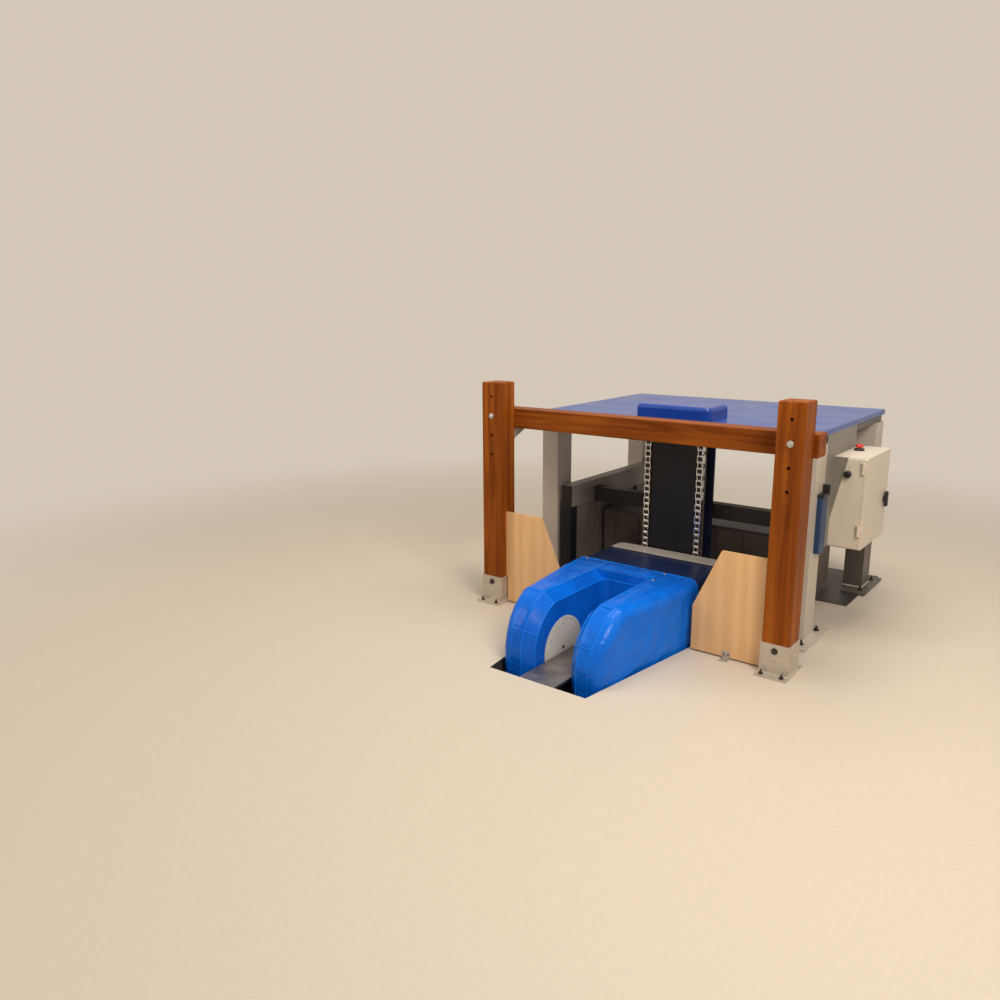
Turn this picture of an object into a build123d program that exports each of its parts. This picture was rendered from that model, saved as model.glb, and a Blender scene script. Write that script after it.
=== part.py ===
from build123d import *
import math
import os

# Standing open MRI scanner for the lower legs of horses, with its timber front.
# Millimetres, +Z up, X across, +Y from the timber front towards the gantry.
# The origin is on the floor, midway between the two front posts.
# The magnet hangs through a slot in the floor, so it reaches below the origin.

# Fits
seat = 0.3                 # gap between a piece and what it seats on
running = 0.05             # radial gap of a pin or shaft that turns in its hole

# Timber front
post_size = 118            # planed 120 mm square timber
post_outset = 20           # the posts' centres stand out past the table's side
post_height = 1183
post_hole_pitch = 100
post_hole_count = 4
post_hole_top = 1110
post_hole_radius = 8
timber_chamfer = 4
beam_height = 101
beam_depth = 100
beam_underside = 941
beam_overhang = 20         # past the posts' outer faces
beam_bolt_head = 13
bolt_head_height = 8

# Steel shoes of the posts
shoe_wall = 5
shoe_height = 144
shoe_bolt_height = 114
shoe_bolt_radius = 6
shoe_bolt_head = 12
base_thickness = 8
base_width = 138
base_length = 210
anchor_spacing_x = 90
anchor_spacing_y = 174
anchor_hole_radius = 5.5   # the holes stand beside the shoe, in the base's front and rear lip

# Plywood guards beside the magnet
guard_thickness = 18
guard_front = -14
guard_foot = 8
guard_top = 499
guard_inner_x = 367        # half of the gap that the magnet rises through
guard_shoulder_x = 493
guard_shoulder_z = 220
guard_bracket_leg = 40
guard_bracket_thickness = 4
guard_bracket_width = 36

# Gantry
table_top_z = 1002
table_thickness = 25
table_half_width = 755
table_beam_gap = 3         # behind the timber beam
table_back = 1493
table_corner = 12
table_hatch_margin = 14    # gap round the mast in the table
apron_height = 38
apron_width = 40
apron_inset = 14
apron_wall = 3
leg_width = 102
leg_depth = 136
leg_wall = 5
front_leg_y = 375
rear_leg_y = 1340
foot_thickness = 10
foot_length = 352
foot_width = 126
foot_outset = 46           # the foot plate stands out past the leg's outer face
foot_bolt_spacing = 222
foot_hole_radius = 7
foot_bolt_outset = 5       # the bolts stand out past the leg's outer face
packer_width = 28          # between a rail and its leg
rail_width = 65
rail_height = 119
rail_underside = 472
rail_wall = 5
rail_post_depth = 60
rail_post_foot_outset = 20
lower_cross_height = 78
skirt_sheet = 3
skirt_lift = 20            # the sheet's lower edge over the floor
skirt_rib_depth = 14
skirt_rib_width = 30
skirt_rib_pitch = 150
packer_inset_y = 20
packer_inset_z = 15
cross_beam_depth = 60
upper_cross_height = 80
floor_plate_thickness = 4
floor_plate_front = 1015
floor_plate_back = 1640
floor_plate_lip = 10       # from its bolts to its side
housing_side_gap = 20      # to the rails' inner faces
housing_front = 700
housing_back = 1180
housing_foot = 60
housing_height = 350
housing_panel_pitch = 154
housing_groove = 8
housing_wall = 3
housing_groove_depth = 6
housing_chamfer = 12
housing_foot_size = 80
housing_foot_inset = 20
table_bracket_leg = 60
table_bracket_thickness = 6
table_bracket_width = 48
table_bracket_inset = 6

# Mast
channel_web_x = 95         # outer face of the web, from the mast's centre plane
channel_tip_x = 165
channel_front = 500
channel_back = 620
channel_thickness = 12
mast_top = 1020
mast_foot_z = -293
mast_foot_thickness = 12
mast_foot_outset = 10
mast_head_thickness = 10
mast_tie_thickness = 12
mast_tie_height = 90
panel_half_width = 124
panel_front = 481
panel_thickness = 6
panel_bottom = -60
panel_top_gap = 20
panel_spacer_radius = 8
panel_spacer_count = 5
cap_half_width = 205
cap_front = 428
cap_back = 665
cap_height = 68
cap_wall = 5
cap_corner = 26

# Lifting chains and sprockets
chain_pitch = 31.75
roller_radius = 9.5
chain_x = 147
chain_y = 485
chain_bottom = 135
chain_links = 25
anchor_lug_length = 34
anchor_lug_side_gap = 1.5
chain_pin_radius = 4
link_plate_height = 25
link_plate_thickness = 3.5
link_inner_gap = 19.6
sprocket_teeth = 9
sprocket_width = 16
sprocket_hub_radius = 26
sprocket_hub_length = 10
sprocket_z = 200
tooth_tip_outset = 6
tooth_root_inset = 11
tooth_root_half = 5
tooth_tip_half = 3
drive_shaft_radius = 15

# Magnet and its cover
magnet_front = -649
magnet_back = 370
magnet_top = 300
magnet_bottom = -290
magnet_nose_radius = 273   # the round between the upright front and the top
magnet_nose_z = 40         # where the upright front ends
magnet_front_half = 248
magnet_waist_y = 15
magnet_waist_half = 335
gap_half = 100             # half of the gap for the limb
gap_back = -25
gap_corner = 38
gap_bevel = 46
cover_wall = 8
cover_back = 105           # where the padded cover ends and the plain rear cover comes out of it
cover_lap = 25
cover_edge_round = 45
rear_cover_wall = 6
pole_y = -378
pole_z = 16
pole_radius = 150
pole_disc_thickness = 20
pole_disc_proud = 3
disc_groove_inset = 14
disc_groove_width = 6
disc_groove_depth = 1.5
disc_screw_inset = 34
disc_screw_count = 6
disc_screw_radius = 5
disc_screw_depth = 4
magnet_block_radius = 160
magnet_block_thickness = 48
yoke_plate_thickness = 70
yoke_front = -590
yoke_half_height = 235
yoke_front_half_height = 160
yoke_shoulder_y = -470
back_yoke_front = 10
back_yoke_back = 350
back_yoke_half_width = 285
yoke_boss_half_width = 230
window_gap = 5             # round the boss in the cover's rear window
yoke_boss_proud = 6        # the boss stands out through the cover's window
stud_radius = 7
stud_height = 5
stud_side_inset = 66       # the left stud, from the magnet's side
stud_rear_inset = 12       # from the padded cover's rear edge
stud_gap_outset = 22       # the right studs, from the gap's bevel

# Carriage
carriage_plate_thickness = 25
carriage_half_width = 260
hood_thickness = 6
hood_top = 300
carriage_bottom = -262
hood_back = 466
hood_half_width = 290
hood_corner = 40
arm_inner_x = 175
arm_thickness = 20
arm_back = 600
arm_bottom = -210
arm_top = 262
arm_hole_inset = 50
wheel_width = 38
wheel_tip_inset = 13       # from the flanges' tips to the wheels' outer faces
wheel_pin_radius = 12
lower_wheel_z = -150
upper_wheel_z = 130
bearing_radius = 26
bearing_width = 10
gearbox_size = 96
gearbox_width = 44
gearbox_wall = 6
motor_radius = 40
motor_length = 120

# Pit: hoof plate between the arms and what carries it and the mast
hoof_plate_half = 90
hoof_plate_front = -733
hoof_plate_back = -45
hoof_plate_top = -2
hoof_plate_thickness = 12
hoof_plate_corner = 25
pedestal_size = 60
front_pedestal_y = -600
rear_pedestal_y = -130
pit_beam_height = 60
pit_beam_half = 75
pit_beam_wall = 6
pit_beam_overhang = 50
pedestal_wall = 5
rest_pad_radius = 30
rest_pad_x = 40
rest_pad_front_y = 80
rest_pad_rear_y = 300

# Control cabinet on the right side of the gantry
cabinet_depth = 150
cabinet_front = 631
cabinet_back = 1040
cabinet_bottom = 420
cabinet_top = 862
cabinet_wall = 2.5
cabinet_corner = 10
mount_plate_thickness = 4
mount_plate_back = 965
mount_plate_bottom = 425
mount_cheek_reach = 64     # of the plate's front cheek, at its top
mount_cheek_bottom = 560
board_thickness = 3
board_standoff = 8
board_margin = 30          # to the case's sides
board_post_radius = 5
board_post_inset = 12
relay_width = 56
relay_pitch = 78
relay_height = 70
relay_depth = 24
board_row_inset = 40       # from the board's edge to its parts
terminal_drop = 60
terminal_height = 24
terminal_depth = 18
drive_width = 160
drive_height = 90
drive_depth = 26
door_thickness = 13.5
door_gap = 0.5
door_rim = 14
door_sheet = 2.5
hinge_pin_radius = 4
knuckle_radius = 8
knuckle_gap = 0.5
hinge_length = 54
lower_hinge_z = 490
upper_hinge_z = 790
handle_length = 78
handle_width = 22
handle_depth = 16
handle_y_inset = 56
handle_z = 613
handle_shaft_radius = 7
button_out = 45            # from the leg's outer face
button_back = 237          # from the case's front
button_radius = 19
button_height = 13
button_stem_radius = 8
button_travel = 6
collar_radius = 24
collar_height = 10
knob_z = 783
knob_out = 67
knob_radius = 17
knob_length = 20
knob_shaft_radius = 6
gland_out = 113
gland_back = 274
gland_radius = 14
gland_length = 34
gland_thread_radius = 10
gland_bore = 6
duct_front = 419
duct_back = 500
duct_bottom = 432
duct_top = 700
duct_depth = 26
duct_wall = 2.5

# Places that follow from the sizes above
post_centre_x = table_half_width + post_outset
leg_outer_x = table_half_width
foot_bolt_x = leg_outer_x + foot_bolt_outset
floor_plate_half_width = foot_bolt_x + floor_plate_lip
post_inner_x = post_centre_x - post_size / 2
post_outer_x = post_centre_x + post_size / 2
beam_bolt_z = post_hole_top - post_hole_pitch
beam_bolt_radius = post_hole_radius - seat
beam_back = post_size / 2 + beam_depth
table_front = beam_back + table_beam_gap
apron_top = table_top_z - table_thickness
apron_bottom = apron_top - apron_height
apron_front = table_front + apron_inset
apron_back = table_back - apron_inset
apron_outer_x = table_half_width - apron_inset
apron_inner_x = apron_outer_x - apron_width
leg_inner_x = leg_outer_x - leg_width
rail_outer_x = leg_inner_x - packer_width
rail_inner_x = rail_outer_x - rail_width
housing_half_width = rail_inner_x - housing_side_gap
rail_top = rail_underside + rail_height
rail_back = rear_leg_y + leg_depth
mast_middle_y = (channel_front + channel_back) / 2
chain_first_z = sprocket_z + (0.5 - round((sprocket_z - chain_bottom) / chain_pitch)) * chain_pitch
chain_last_z = chain_first_z + chain_links * chain_pitch
sprocket_roll_radius = sprocket_teeth * chain_pitch / (2 * math.pi)
drive_y = chain_y - sprocket_roll_radius
pit_beam_top = mast_foot_z - mast_foot_thickness
pole_face_x = gap_half - pole_disc_proud
block_x = pole_face_x + pole_disc_thickness
yoke_plate_x = block_x + magnet_block_thickness
yoke_bottom = pole_z - yoke_half_height
yoke_top = pole_z + yoke_half_height
carriage_front = magnet_back + yoke_boss_proud
carriage_back = carriage_front + carriage_plate_thickness
carriage_top = hood_top - hood_thickness
arm_outer_x = arm_inner_x + arm_thickness
wheel_radius = (channel_back - channel_front) / 2 - channel_thickness - seat
wheel_outer_x = channel_tip_x - wheel_tip_inset
wheel_inner_x = wheel_outer_x - wheel_width
wheel_heights = {"lower": lower_wheel_z, "upper": upper_wheel_z}
cabinet_inner_x = leg_outer_x
button_x = cabinet_inner_x + button_out
button_y = cabinet_front + button_back
knob_x = cabinet_inner_x + knob_out
gland_x = cabinet_inner_x + gland_out
gland_y = cabinet_front + gland_back
cabinet_face_x = cabinet_inner_x + cabinet_depth
case_x = cabinet_face_x - door_thickness - door_gap
door_x = case_x + door_gap
hinge_x = case_x + door_gap / 2
hinge_y = cabinet_front - knuckle_radius - seat
hinge_heights = (lower_hinge_z, upper_hinge_z)
handle_y = cabinet_back - handle_y_inset


def block(x0, x1, y0, y1, z0, z1):
    """A rectangular block between the given limits."""
    centre = ((x0 + x1) / 2, (y0 + y1) / 2, (z0 + z1) / 2)
    return Pos(*centre) * Box(abs(x1 - x0), abs(y1 - y0), abs(z1 - z0))


def rod(axis, radius, start, end, at):
    """A round bar along an axis; at holds its other two coordinates in X, Y, Z order."""
    half = abs(end - start) / 2
    middle = (start + end) / 2
    if axis == "X":
        return Pos(middle, at[0], at[1]) * Rot(0, 90, 0) * Cylinder(radius, 2 * half)
    if axis == "Y":
        return Pos(at[0], middle, at[1]) * Rot(90, 0, 0) * Cylinder(radius, 2 * half)
    return Pos(at[0], at[1], middle) * Cylinder(radius, 2 * half)


def prism_x(points, x0, x1):
    """A profile of (y, z) points carried along X."""
    face = make_face(Polyline(*[(x0, y, z) for y, z in points], close=True))
    return extrude(face, amount=x1 - x0, dir=(1, 0, 0))


def prism_y(points, y0, y1):
    """A profile of (x, z) points carried along Y."""
    face = make_face(Polyline(*[(x, y0, z) for x, z in points], close=True))
    return extrude(face, amount=y1 - y0, dir=(0, 1, 0))


def prism_z(points, z0, z1):
    """A profile of (x, y) points carried along Z."""
    face = make_face(Polyline(*[(x, y, z0) for x, y in points], close=True))
    return extrude(face, amount=z1 - z0, dir=(0, 0, 1))


def tube_y(x0, x1, y0, y1, z0, z1, wall):
    """A rectangular hollow section along Y."""
    return block(x0, x1, y0, y1, z0, z1) - block(x0 + wall, x1 - wall, y0 - 1, y1 + 1, z0 + wall, z1 - wall)


def tube_x(x0, x1, y0, y1, z0, z1, wall):
    """A rectangular hollow section along X."""
    return block(x0, x1, y0, y1, z0, z1) - block(x0 - 1, x1 + 1, y0 + wall, y1 - wall, z0 + wall, z1 - wall)


def mirrored(shape):
    """The same shape on the other side of the centre plane."""
    return mirror(shape, about=Plane.YZ)


# Timber front

def post(side):
    half = post_size / 2
    x = side * post_centre_x
    body = block(x - half, x + half, -half, half, base_thickness + seat, post_height)
    top_edges = body.edges().group_by(Axis.Z)[-1]
    body = chamfer(top_edges, timber_chamfer)
    for i in range(post_hole_count):
        z = post_hole_top - i * post_hole_pitch
        body -= rod("Y", post_hole_radius, -half - 1, half + 1, (x, z))
    body -= rod("Y", shoe_bolt_radius + seat, -half - 1, half + 1, (x, shoe_bolt_height))
    return body


def cross_beam():
    """The timber bolted across the backs of both posts."""
    reach = post_outer_x + beam_overhang
    front = post_size / 2
    body = block(-reach, reach, front, beam_back, beam_underside, beam_underside + beam_height)
    body = chamfer(body.edges(), timber_chamfer)
    for side in (-1, 1):
        body -= rod("Y", post_hole_radius, front - 1, beam_back + 1, (side * post_centre_x, beam_bolt_z))
    return body


def beam_bolts():
    """One bolt through each post's second hole, with its nut behind the beam."""
    group = []
    front = -post_size / 2
    for side in (-1, 1):
        at = (side * post_centre_x, beam_bolt_z)
        shank = rod("Y", beam_bolt_radius, front, beam_back + bolt_head_height + 4, at)
        head = rod("Y", beam_bolt_head, front - bolt_head_height, front, at)
        nut = rod("Y", beam_bolt_head, beam_back, beam_back + bolt_head_height, at)
        group.append(shank + head + nut)
    return Compound(children=group)


def post_shoe(side):
    """A square steel socket on a base plate with four anchor holes."""
    x = side * post_centre_x
    inner = post_size / 2 + seat
    outer = inner + shoe_wall
    base = block(x - base_width / 2, x + base_width / 2, -base_length / 2, base_length / 2, 0, base_thickness)
    walls = block(x - outer, x + outer, -outer, outer, base_thickness, shoe_height)
    walls -= block(x - inner, x + inner, -inner, inner, base_thickness, shoe_height + 1)
    body = base + walls
    for dx in (-1, 1):
        for dy in (-1, 1):
            at = (x + dx * anchor_spacing_x / 2, dy * anchor_spacing_y / 2)
            body -= rod("Z", anchor_hole_radius, -1, base_thickness + 1, at)
    body -= rod("Y", shoe_bolt_radius + seat, -outer - 1, outer + 1, (x, shoe_bolt_height))
    return body


def shoe_bolts():
    group = []
    outer = post_size / 2 + seat + shoe_wall
    for side in (-1, 1):
        at = (side * post_centre_x, shoe_bolt_height)
        shank = rod("Y", shoe_bolt_radius, -outer, outer + bolt_head_height + 4, at)
        head = rod("Y", shoe_bolt_head, -outer - bolt_head_height, -outer, at)
        nut = rod("Y", shoe_bolt_head, outer, outer + bolt_head_height, at)
        group.append(shank + head + nut)
    return Compound(children=group)


def guard(side):
    points = [
        (guard_inner_x, guard_foot),
        (post_inner_x, guard_foot),
        (post_inner_x, guard_top),
        (guard_shoulder_x, guard_top),
        (guard_inner_x, guard_shoulder_z),
    ]
    body = prism_y(points, guard_front, guard_front + guard_thickness)
    shoe_reach = base_width / 2 + seat
    body -= block(post_centre_x - shoe_reach, post_inner_x + 1, -60, 60, 0, shoe_height + seat)
    return body if side > 0 else mirrored(body)


def guard_brackets():
    """Steel angles: one at the front foot of each guard, two on each post."""
    leg = guard_bracket_leg
    thick = guard_bracket_thickness
    back = guard_front + guard_thickness
    group = []
    foot_x = (guard_inner_x + post_inner_x) / 2 - guard_bracket_width / 2
    foot = block(foot_x, foot_x + guard_bracket_width, guard_front - leg, guard_front, 0, thick)
    foot += block(foot_x, foot_x + guard_bracket_width, guard_front - thick, guard_front, 0, leg)
    group.append(foot)
    for z in (0.45 * guard_top, 0.85 * guard_top):
        cleat = block(post_inner_x - leg, post_inner_x, back, back + thick, z, z + guard_bracket_width)
        cleat += block(post_inner_x - thick, post_inner_x, back, back + leg, z, z + guard_bracket_width)
        group.append(cleat)
    return Compound(children=group + [mirrored(g) for g in group])


def table_brackets():
    """Angles on the backs of the posts that the table's frame rests on, under the beam."""
    back = post_size / 2
    top = apron_bottom
    x0 = post_inner_x + table_bracket_inset
    x1 = x0 + table_bracket_width
    t = table_bracket_thickness
    wall = block(x0, x1, back, back + t, top - table_bracket_leg, top)
    shelf = block(x0, x1, back, apron_front + apron_width, top - t, top)
    web = prism_x([(back, top - table_bracket_leg), (apron_front, top - t), (apron_front, top), (back, top)], x0, x0 + t)
    right = wall + shelf + web
    return Compound(children=[right, mirrored(right)])


# Gantry

def table_top():
    body = block(-table_half_width, table_half_width, table_front, table_back, apron_top, table_top_z)
    hatch_x = channel_tip_x + table_hatch_margin
    body -= block(-hatch_x, hatch_x, panel_front - table_hatch_margin, channel_back + table_hatch_margin,
                  apron_top - 1, table_top_z + 1)
    corners = body.edges().filter_by(Axis.Z).group_by(Axis.Y)[-1]
    body = fillet(corners, table_corner)
    return body


def table_frame():
    """The welded frame of flat tubes under the table top."""
    z0, z1 = apron_bottom, apron_top
    left = tube_y(-apron_outer_x, -apron_inner_x, apron_front, apron_back, z0, z1, apron_wall)
    front = tube_x(-apron_inner_x, apron_inner_x, apron_front, apron_front + apron_width, z0, z1, apron_wall)
    rear = tube_x(-apron_inner_x, apron_inner_x, apron_back - apron_width, apron_back, z0, z1, apron_wall)
    return left.fuse(mirrored(left), front, rear)


def leg(side, y0, floor):
    """A box-section leg welded on its long foot plate."""
    x0, x1 = leg_inner_x, leg_outer_x
    middle = y0 + leg_depth / 2
    foot = block(x1 + foot_outset - foot_width, x1 + foot_outset, middle - foot_length / 2,
                 middle + foot_length / 2, floor, floor + foot_thickness)
    for dy in (-1, 1):
        at = (foot_bolt_x, middle + dy * foot_bolt_spacing / 2)
        foot -= rod("Z", foot_hole_radius, floor - 1, floor + foot_thickness + 1, at)
    shaft = block(x0, x1, y0, y0 + leg_depth, floor + foot_thickness, apron_bottom)
    shaft -= block(x0 + leg_wall, x1 - leg_wall, y0 + leg_wall, y0 + leg_depth - leg_wall,
                   floor + foot_thickness - 1, apron_bottom - leg_wall)
    body = foot + shaft
    return body if side > 0 else mirrored(body)


def side_rail(side):
    body = tube_y(rail_inner_x, rail_outer_x, front_leg_y, rail_back, rail_underside, rail_top, rail_wall)
    cap = block(rail_inner_x + rail_wall, rail_outer_x - rail_wall, front_leg_y, front_leg_y + rail_wall,
                rail_underside + rail_wall, rail_top - rail_wall)
    body += cap
    return body if side > 0 else mirrored(body)


def rail_packers():
    group = []
    for y in (front_leg_y, rear_leg_y):
        packer = block(rail_outer_x, leg_inner_x, y + packer_inset_y, y + leg_depth - packer_inset_y,
                       rail_underside + packer_inset_z, rail_top - packer_inset_z)
        group.append(packer)
    return Compound(children=group + [mirrored(g) for g in group])


def rail_post(side):
    out = rail_post_foot_outset
    body = block(rail_inner_x, rail_outer_x, front_leg_y, front_leg_y + rail_post_depth, foot_thickness,
                 rail_underside)
    body += block(rail_inner_x - out, rail_outer_x, front_leg_y - out, front_leg_y + rail_post_depth + out, 0,
                  foot_thickness)
    return body if side > 0 else mirrored(body)


def rail_skirt(side):
    """The dark ribbed sheet that closes the room under a side rail."""
    x1 = rail_inner_x + rail_wall
    y0 = front_leg_y + rail_post_depth
    body = block(x1, x1 + skirt_sheet, y0, rear_leg_y, skirt_lift, rail_underside)
    count = int((rear_leg_y - y0 - skirt_rib_width) // skirt_rib_pitch) + 1
    first = (y0 + rear_leg_y - skirt_rib_width - (count - 1) * skirt_rib_pitch) / 2
    for i in range(count):
        y = first + i * skirt_rib_pitch
        body += block(x1 - skirt_rib_depth, x1, y, y + skirt_rib_width, skirt_lift, rail_underside)
    return body if side > 0 else mirrored(body)


def mast_cross_beams():
    """The hollow bars behind the mast, between the side rails and between the table's side bars."""
    back = channel_back + cross_beam_depth
    lower = tube_x(-rail_inner_x, rail_inner_x, channel_back, back, rail_underside,
                   rail_underside + lower_cross_height, rail_wall)
    upper = tube_x(-apron_inner_x, apron_inner_x, channel_back, back, apron_top - upper_cross_height, apron_top,
                   rail_wall)
    return Compound(children=[lower, upper])


def rear_floor_plate():
    """The steel sheet under the rear legs, drilled through with their foot plates."""
    body = block(-floor_plate_half_width, floor_plate_half_width, floor_plate_front, floor_plate_back, 0,
                 floor_plate_thickness)
    middle = rear_leg_y + leg_depth / 2
    for side in (-1, 1):
        for dy in (-1, 1):
            at = (side * foot_bolt_x, middle + dy * foot_bolt_spacing / 2)
            body -= rod("Z", foot_hole_radius, -1, floor_plate_thickness + 1, at)
    return body


def drive_housing():
    """A dark sheet-metal housing with upright grooves between its front panels."""
    z0 = housing_foot
    z1 = housing_foot + housing_height
    body = block(-housing_half_width, housing_half_width, housing_front, housing_back, z0, z1)
    top_long = body.edges().filter_by(Axis.X).group_by(Axis.Z)[-1]
    body = chamfer(top_long, housing_chamfer)
    w = housing_wall + housing_groove_depth
    body -= block(-housing_half_width + w, housing_half_width - w, housing_front + w, housing_back - w, z0 - 1,
                  z1 - housing_chamfer - housing_wall)
    half_count = int(housing_half_width // housing_panel_pitch)
    for i in range(-half_count, half_count + 1):
        x = i * housing_panel_pitch
        body -= block(x - housing_groove / 2, x + housing_groove / 2, housing_front - 1,
                      housing_front + housing_groove_depth, z0 - 1, z1 - 20)
    for side in (-1, 1):
        x0 = side * (housing_half_width - housing_foot_inset)
        x1 = x0 - side * housing_foot_size
        body += block(min(x0, x1), max(x0, x1), housing_front + 2, housing_front + housing_foot_size, 0, z0)
        body += block(min(x0, x1), max(x0, x1), housing_back - housing_foot_size, housing_back - 2,
                      floor_plate_thickness, z0)
    return body


def cable_duct():
    """A blue cover strip on the outer face of the right front leg."""
    x0 = leg_outer_x
    body = block(x0, x0 + duct_depth, duct_front, duct_back, duct_bottom, duct_top)
    outer = body.edges().filter_by(Axis.Z).group_by(Axis.X)[-1]
    body = fillet(outer, 8)
    w = duct_wall
    body -= block(x0 - 1, x0 + duct_depth - w, duct_front + w, duct_back - w, duct_bottom - 1, duct_top - w)
    return body


def duct_clip():
    """A black L-shaped clip over the top of the duct."""
    x0 = leg_outer_x
    z0 = duct_top
    body = block(x0, x0 + duct_depth + 6, duct_front - 4, duct_back + 4, z0, z0 + 14)
    body += block(x0, x0 + duct_depth + 6, duct_back - 14, duct_back + 4, z0 + 14, z0 + 50)
    return body


# Mast

def mast_channel(side):
    """A rolled channel, open to the outside, that the carriage's wheels run in."""
    t = channel_thickness
    web = block(channel_web_x - t, channel_web_x, channel_front, channel_back, mast_foot_z, mast_top)
    front = block(channel_web_x - t, channel_tip_x, channel_front, channel_front + t, mast_foot_z, mast_top)
    rear = block(channel_web_x - t, channel_tip_x, channel_back - t, channel_back, mast_foot_z, mast_top)
    body = web + front + rear
    return body if side > 0 else mirrored(body)


def mast_foot():
    out = mast_foot_outset
    return block(-channel_tip_x, channel_tip_x, channel_front - out, channel_back + out,
                 mast_foot_z - mast_foot_thickness, mast_foot_z)


def mast_head():
    """The plate across the tops of both channels, with a tie between their webs."""
    body = block(-channel_tip_x, channel_tip_x, channel_front, channel_back, mast_top,
                 mast_top + mast_head_thickness)
    web = channel_web_x - channel_thickness
    half = mast_tie_thickness / 2
    body += block(-web, web, mast_middle_y - half, mast_middle_y + half, mast_top - mast_tie_height, mast_top)
    return body


def mast_panel():
    """The black front panel, on spacers that stand on the channels' front flanges."""
    y0 = panel_front
    body = block(-panel_half_width, panel_half_width, y0, y0 + panel_thickness, panel_bottom,
                 mast_top - panel_top_gap)
    for side in (-1, 1):
        for i in range(panel_spacer_count):
            z = panel_bottom + 60 + i * (mast_top - panel_bottom - 140) / (panel_spacer_count - 1)
            x = side * (channel_web_x + 2)
            body += rod("Y", panel_spacer_radius, y0 + panel_thickness, channel_front, (x, z))
    return body


def mast_cap():
    """A low rounded cover over the mast's head, open underneath."""
    z0 = table_top_z
    outer = block(-cap_half_width, cap_half_width, cap_front, cap_back, z0, z0 + cap_height)
    outer = fillet(outer.edges().filter_by(Axis.Z), cap_corner)
    outer = fillet(outer.edges().group_by(Axis.Z)[-1], cap_corner * 0.8)
    w = cap_wall
    inner = block(-cap_half_width + w, cap_half_width - w, cap_front + w, cap_back - w, z0 - 1, z0 + cap_height - w)
    inner = fillet(inner.edges().filter_by(Axis.Z), cap_corner - w)
    inner = fillet(inner.edges().group_by(Axis.Z)[-1], cap_corner * 0.8 - w)
    return outer - inner


def link_plate(x0, z0, thickness):
    """One chain link's side plate, pointed at both ends, from pin to pin."""
    half = link_plate_height / 2
    end = half * 0.9
    z1 = z0 + chain_pitch
    points = [
        (chain_y, z0 - end),
        (chain_y + half, z0 - end * 0.25),
        (chain_y + half, z1 + end * 0.25),
        (chain_y, z1 + end),
        (chain_y - half, z1 + end * 0.25),
        (chain_y - half, z0 - end * 0.25),
    ]
    return prism_x(points, x0, x0 + thickness)


def chain_roller_z(i):
    """The rollers lie half a pitch above and below the sprocket's centre at rest."""
    return chain_first_z + i * chain_pitch


def lifting_chain(side):
    """A roller chain, held tight between its anchors, that the sprocket climbs."""
    t = link_plate_thickness
    inner = link_inner_gap / 2
    pieces = []
    for i in range(chain_links):
        z = chain_roller_z(i)
        offset = inner if i % 2 else inner + t
        for way in (-1, 1):
            x0 = chain_x + (offset if way > 0 else -offset - t)
            pieces.append(link_plate(x0, z, t))
    for i in range(chain_links + 1):
        z = chain_roller_z(i)
        pieces.append(rod("X", roller_radius, chain_x - inner, chain_x + inner, (chain_y, z)))
        pieces.append(rod("X", chain_pin_radius, chain_x - inner - 2 * t, chain_x + inner + 2 * t, (chain_y, z)))
    body = pieces[0].fuse(*pieces[1:])
    return body if side > 0 else mirrored(body)


def chain_anchors():
    """Lugs on the channels' front flanges that hold both ends of each chain."""
    group = []
    half = link_inner_gap / 2 - anchor_lug_side_gap
    for z, way in ((chain_first_z, -1), (chain_last_z, 1)):
        near = z + way * (roller_radius + seat)
        far = near + way * anchor_lug_length
        lug = block(chain_x - half, chain_x + half, chain_y - link_plate_height / 2, channel_front, near, far)
        group.append(lug)
    return Compound(children=group + [mirrored(g) for g in group])


# Magnet

def nose_profile(inset, x, y1):
    """The magnet's side view: flat top and underside, and a large round up from the upright front."""
    y0 = magnet_front + inset
    top = magnet_top - inset
    bottom = magnet_bottom + inset
    radius = magnet_nose_radius - inset
    centre_y = y0 + radius
    low_z = magnet_bottom + magnet_top - magnet_nose_z
    end_angle = math.asin((top - magnet_nose_z) / radius)
    end_y = centre_y - radius * math.cos(end_angle)
    middle_y = centre_y - radius * math.cos(end_angle / 2)
    rise = radius * math.sin(end_angle / 2)
    edges = [
        Line((x, y1, bottom), (x, y1, top)),
        Line((x, y1, top), (x, end_y, top)),
        ThreePointArc((x, end_y, top), (x, middle_y, magnet_nose_z + rise), (x, y0, magnet_nose_z)),
        Line((x, y0, magnet_nose_z), (x, y0, low_z)),
        ThreePointArc((x, y0, low_z), (x, middle_y, low_z - rise), (x, end_y, bottom)),
        Line((x, end_y, bottom), (x, y1, bottom)),
    ]
    return make_face(Wire(edges))


def gap_side(inset):
    """The strip of the right arm beside the gap: a 45 degree bevel runs round it, and a round stands in
    the gap's rear corner. The bevel's offset starts the root of two less one times the inset further out."""
    slip = (math.sqrt(2) - 1) * inset
    x0 = gap_half + inset
    x1 = gap_half + gap_bevel + slip
    back = gap_back + inset
    deep = gap_bevel + slip
    strip = loft([nose_profile(deep, x0, back), nose_profile(inset, x1, back)], ruled=True)
    z0 = magnet_bottom + deep
    z1 = magnet_top - deep
    corner = block(x0 - gap_corner, x0, back - gap_corner, back, z0, z1)
    corner -= rod("Z", gap_corner, z0 - 1, z1 + 1, (x0 - gap_corner, back - gap_corner))
    return strip + corner


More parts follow.
